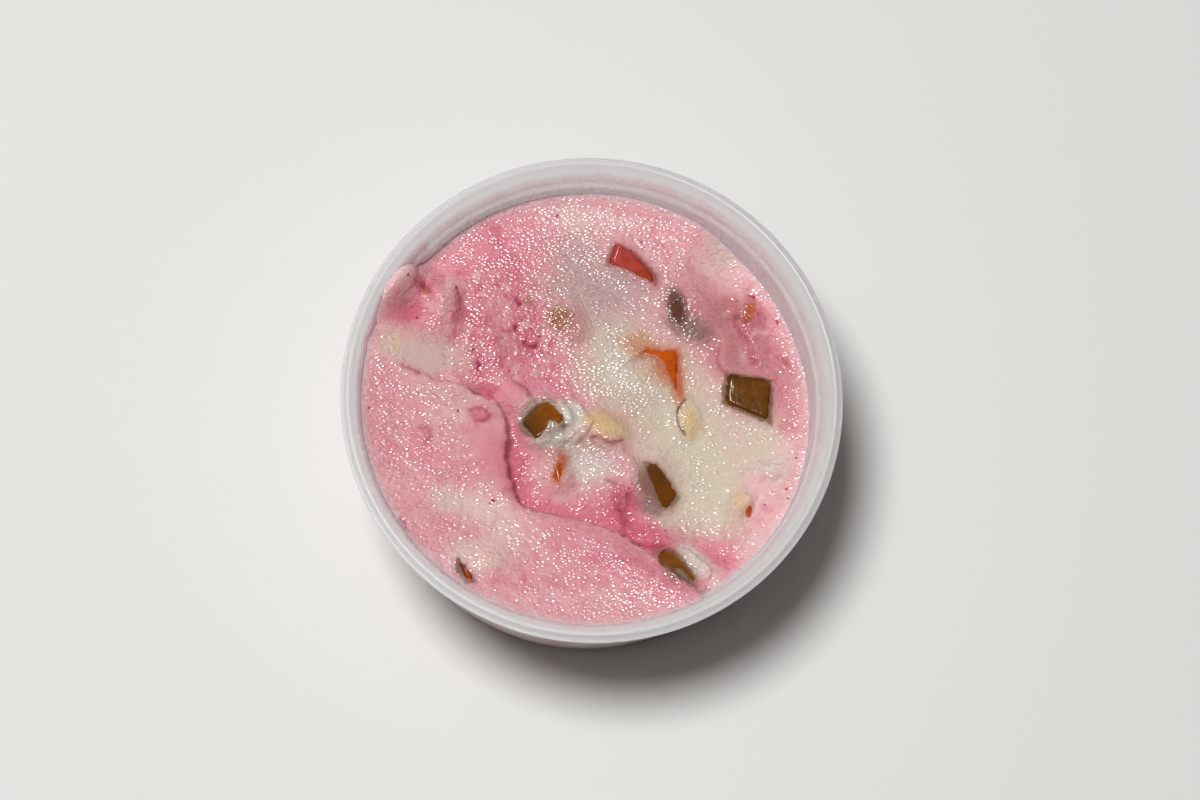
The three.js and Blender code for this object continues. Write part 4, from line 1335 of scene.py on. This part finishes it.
dried_whey, tree, shader = new_material(
    "dried_whey",
    Roughness=0.3,
    Subsurface_Weight=1,
    Subsurface_Radius=(1, 0.5, 0.55),
    Subsurface_Scale=0.3 * MM,
)
dyed = add_attribute(tree, "pinkness")
whey = add_mix(tree, WHITE_WHEY, PINK_WHEY)
covered = add_attribute(tree, "cover")
link(dyed, "Fac", whey, "Factor")
link(whey, "Result", shader, "Base Color")
link(covered, "Fac", shader, "Alpha")
finish_piece(wall_film, "wall_film", dried_whey, "cream")

# ---- Table, light and camera -------------------------------------------------------------------
# The tub stands on a plain pale surface under one soft lamp, nearly overhead from the back left.
nothing_selected()
bpy.ops.mesh.primitive_plane_add(size=3)
table = bpy.context.object
table.name = "table"
paper, tree, shader = new_material("pale_paper", Base_Color=(0.8, 0.8, 0.78, 1), Roughness=0.8)
table.data.materials.append(paper)

LAMP_ELEVATION = math.radians(77)
LAMP_AZIMUTH = math.radians(163)
LAMP_DISTANCE = 1.4
# The lamp and the large soft shade round it: width, power, colour. Only the lamp shows in glints.
LAMPS = {"lamp": (0.4, 16.4, (1, 1, 1)), "lamp_shade": (1.3, 2.4, (1, 0.93, 0.9))}
towards_lamp = Vector((
    math.cos(LAMP_ELEVATION) * math.cos(LAMP_AZIMUTH),
    math.cos(LAMP_ELEVATION) * math.sin(LAMP_AZIMUTH),
    math.sin(LAMP_ELEVATION),
))
for name, (size, power, colour) in LAMPS.items():
    light = bpy.data.lights.new(name, "AREA")
    light.shape = "DISK"
    light.size = size
    light.color = colour
    light.energy = power
    lamp = bpy.data.objects.new(name, light)
    lamp.location = LAMP_DISTANCE * towards_lamp
    lamp.rotation_euler = towards_lamp.to_track_quat("Z", "Y").to_euler()
    lamp.visible_glossy = name == "lamp"
    bpy.context.scene.collection.objects.link(lamp)
room = bpy.data.worlds.new("room")
room.use_nodes = True
room.node_tree.nodes["Background"].inputs["Color"].default_value = (1, 0.99, 0.98, 1)
room.node_tree.nodes["Background"].inputs["Strength"].default_value = 0.03
bpy.context.scene.world = room

CAMERA_ELEVATION = math.radians(74.28)
CAMERA_TURN = math.radians(-10)
CAMERA_DISTANCE = 0.65
# Where the camera aims, from the middle of the rim, across its view and up it.
AIM_RIGHT, AIM_UP = 1.53 * MM, -0.73 * MM
back = Vector((
    math.cos(CAMERA_ELEVATION) * math.sin(CAMERA_TURN),
    -math.cos(CAMERA_ELEVATION) * math.cos(CAMERA_TURN),
    math.sin(CAMERA_ELEVATION),
))
right = (-back).cross(Vector((0, 1, 0))).normalized()
up = right.cross(-back)
target = Vector((0, 0, SKIRT_HEIGHT * MM)) + AIM_RIGHT * right + AIM_UP * up
camera_data = bpy.data.cameras.new("camera")
camera_data.sensor_width = 36
camera_data.lens = 98
camera = bpy.data.objects.new("camera", camera_data)
axes = Matrix((right, up, back)).transposed().to_4x4()
camera.matrix_world = Matrix.Translation(target + CAMERA_DISTANCE * back) @ axes
bpy.context.scene.collection.objects.link(camera)
bpy.context.scene.camera = camera
bpy.context.scene.view_settings.view_transform = "Standard"
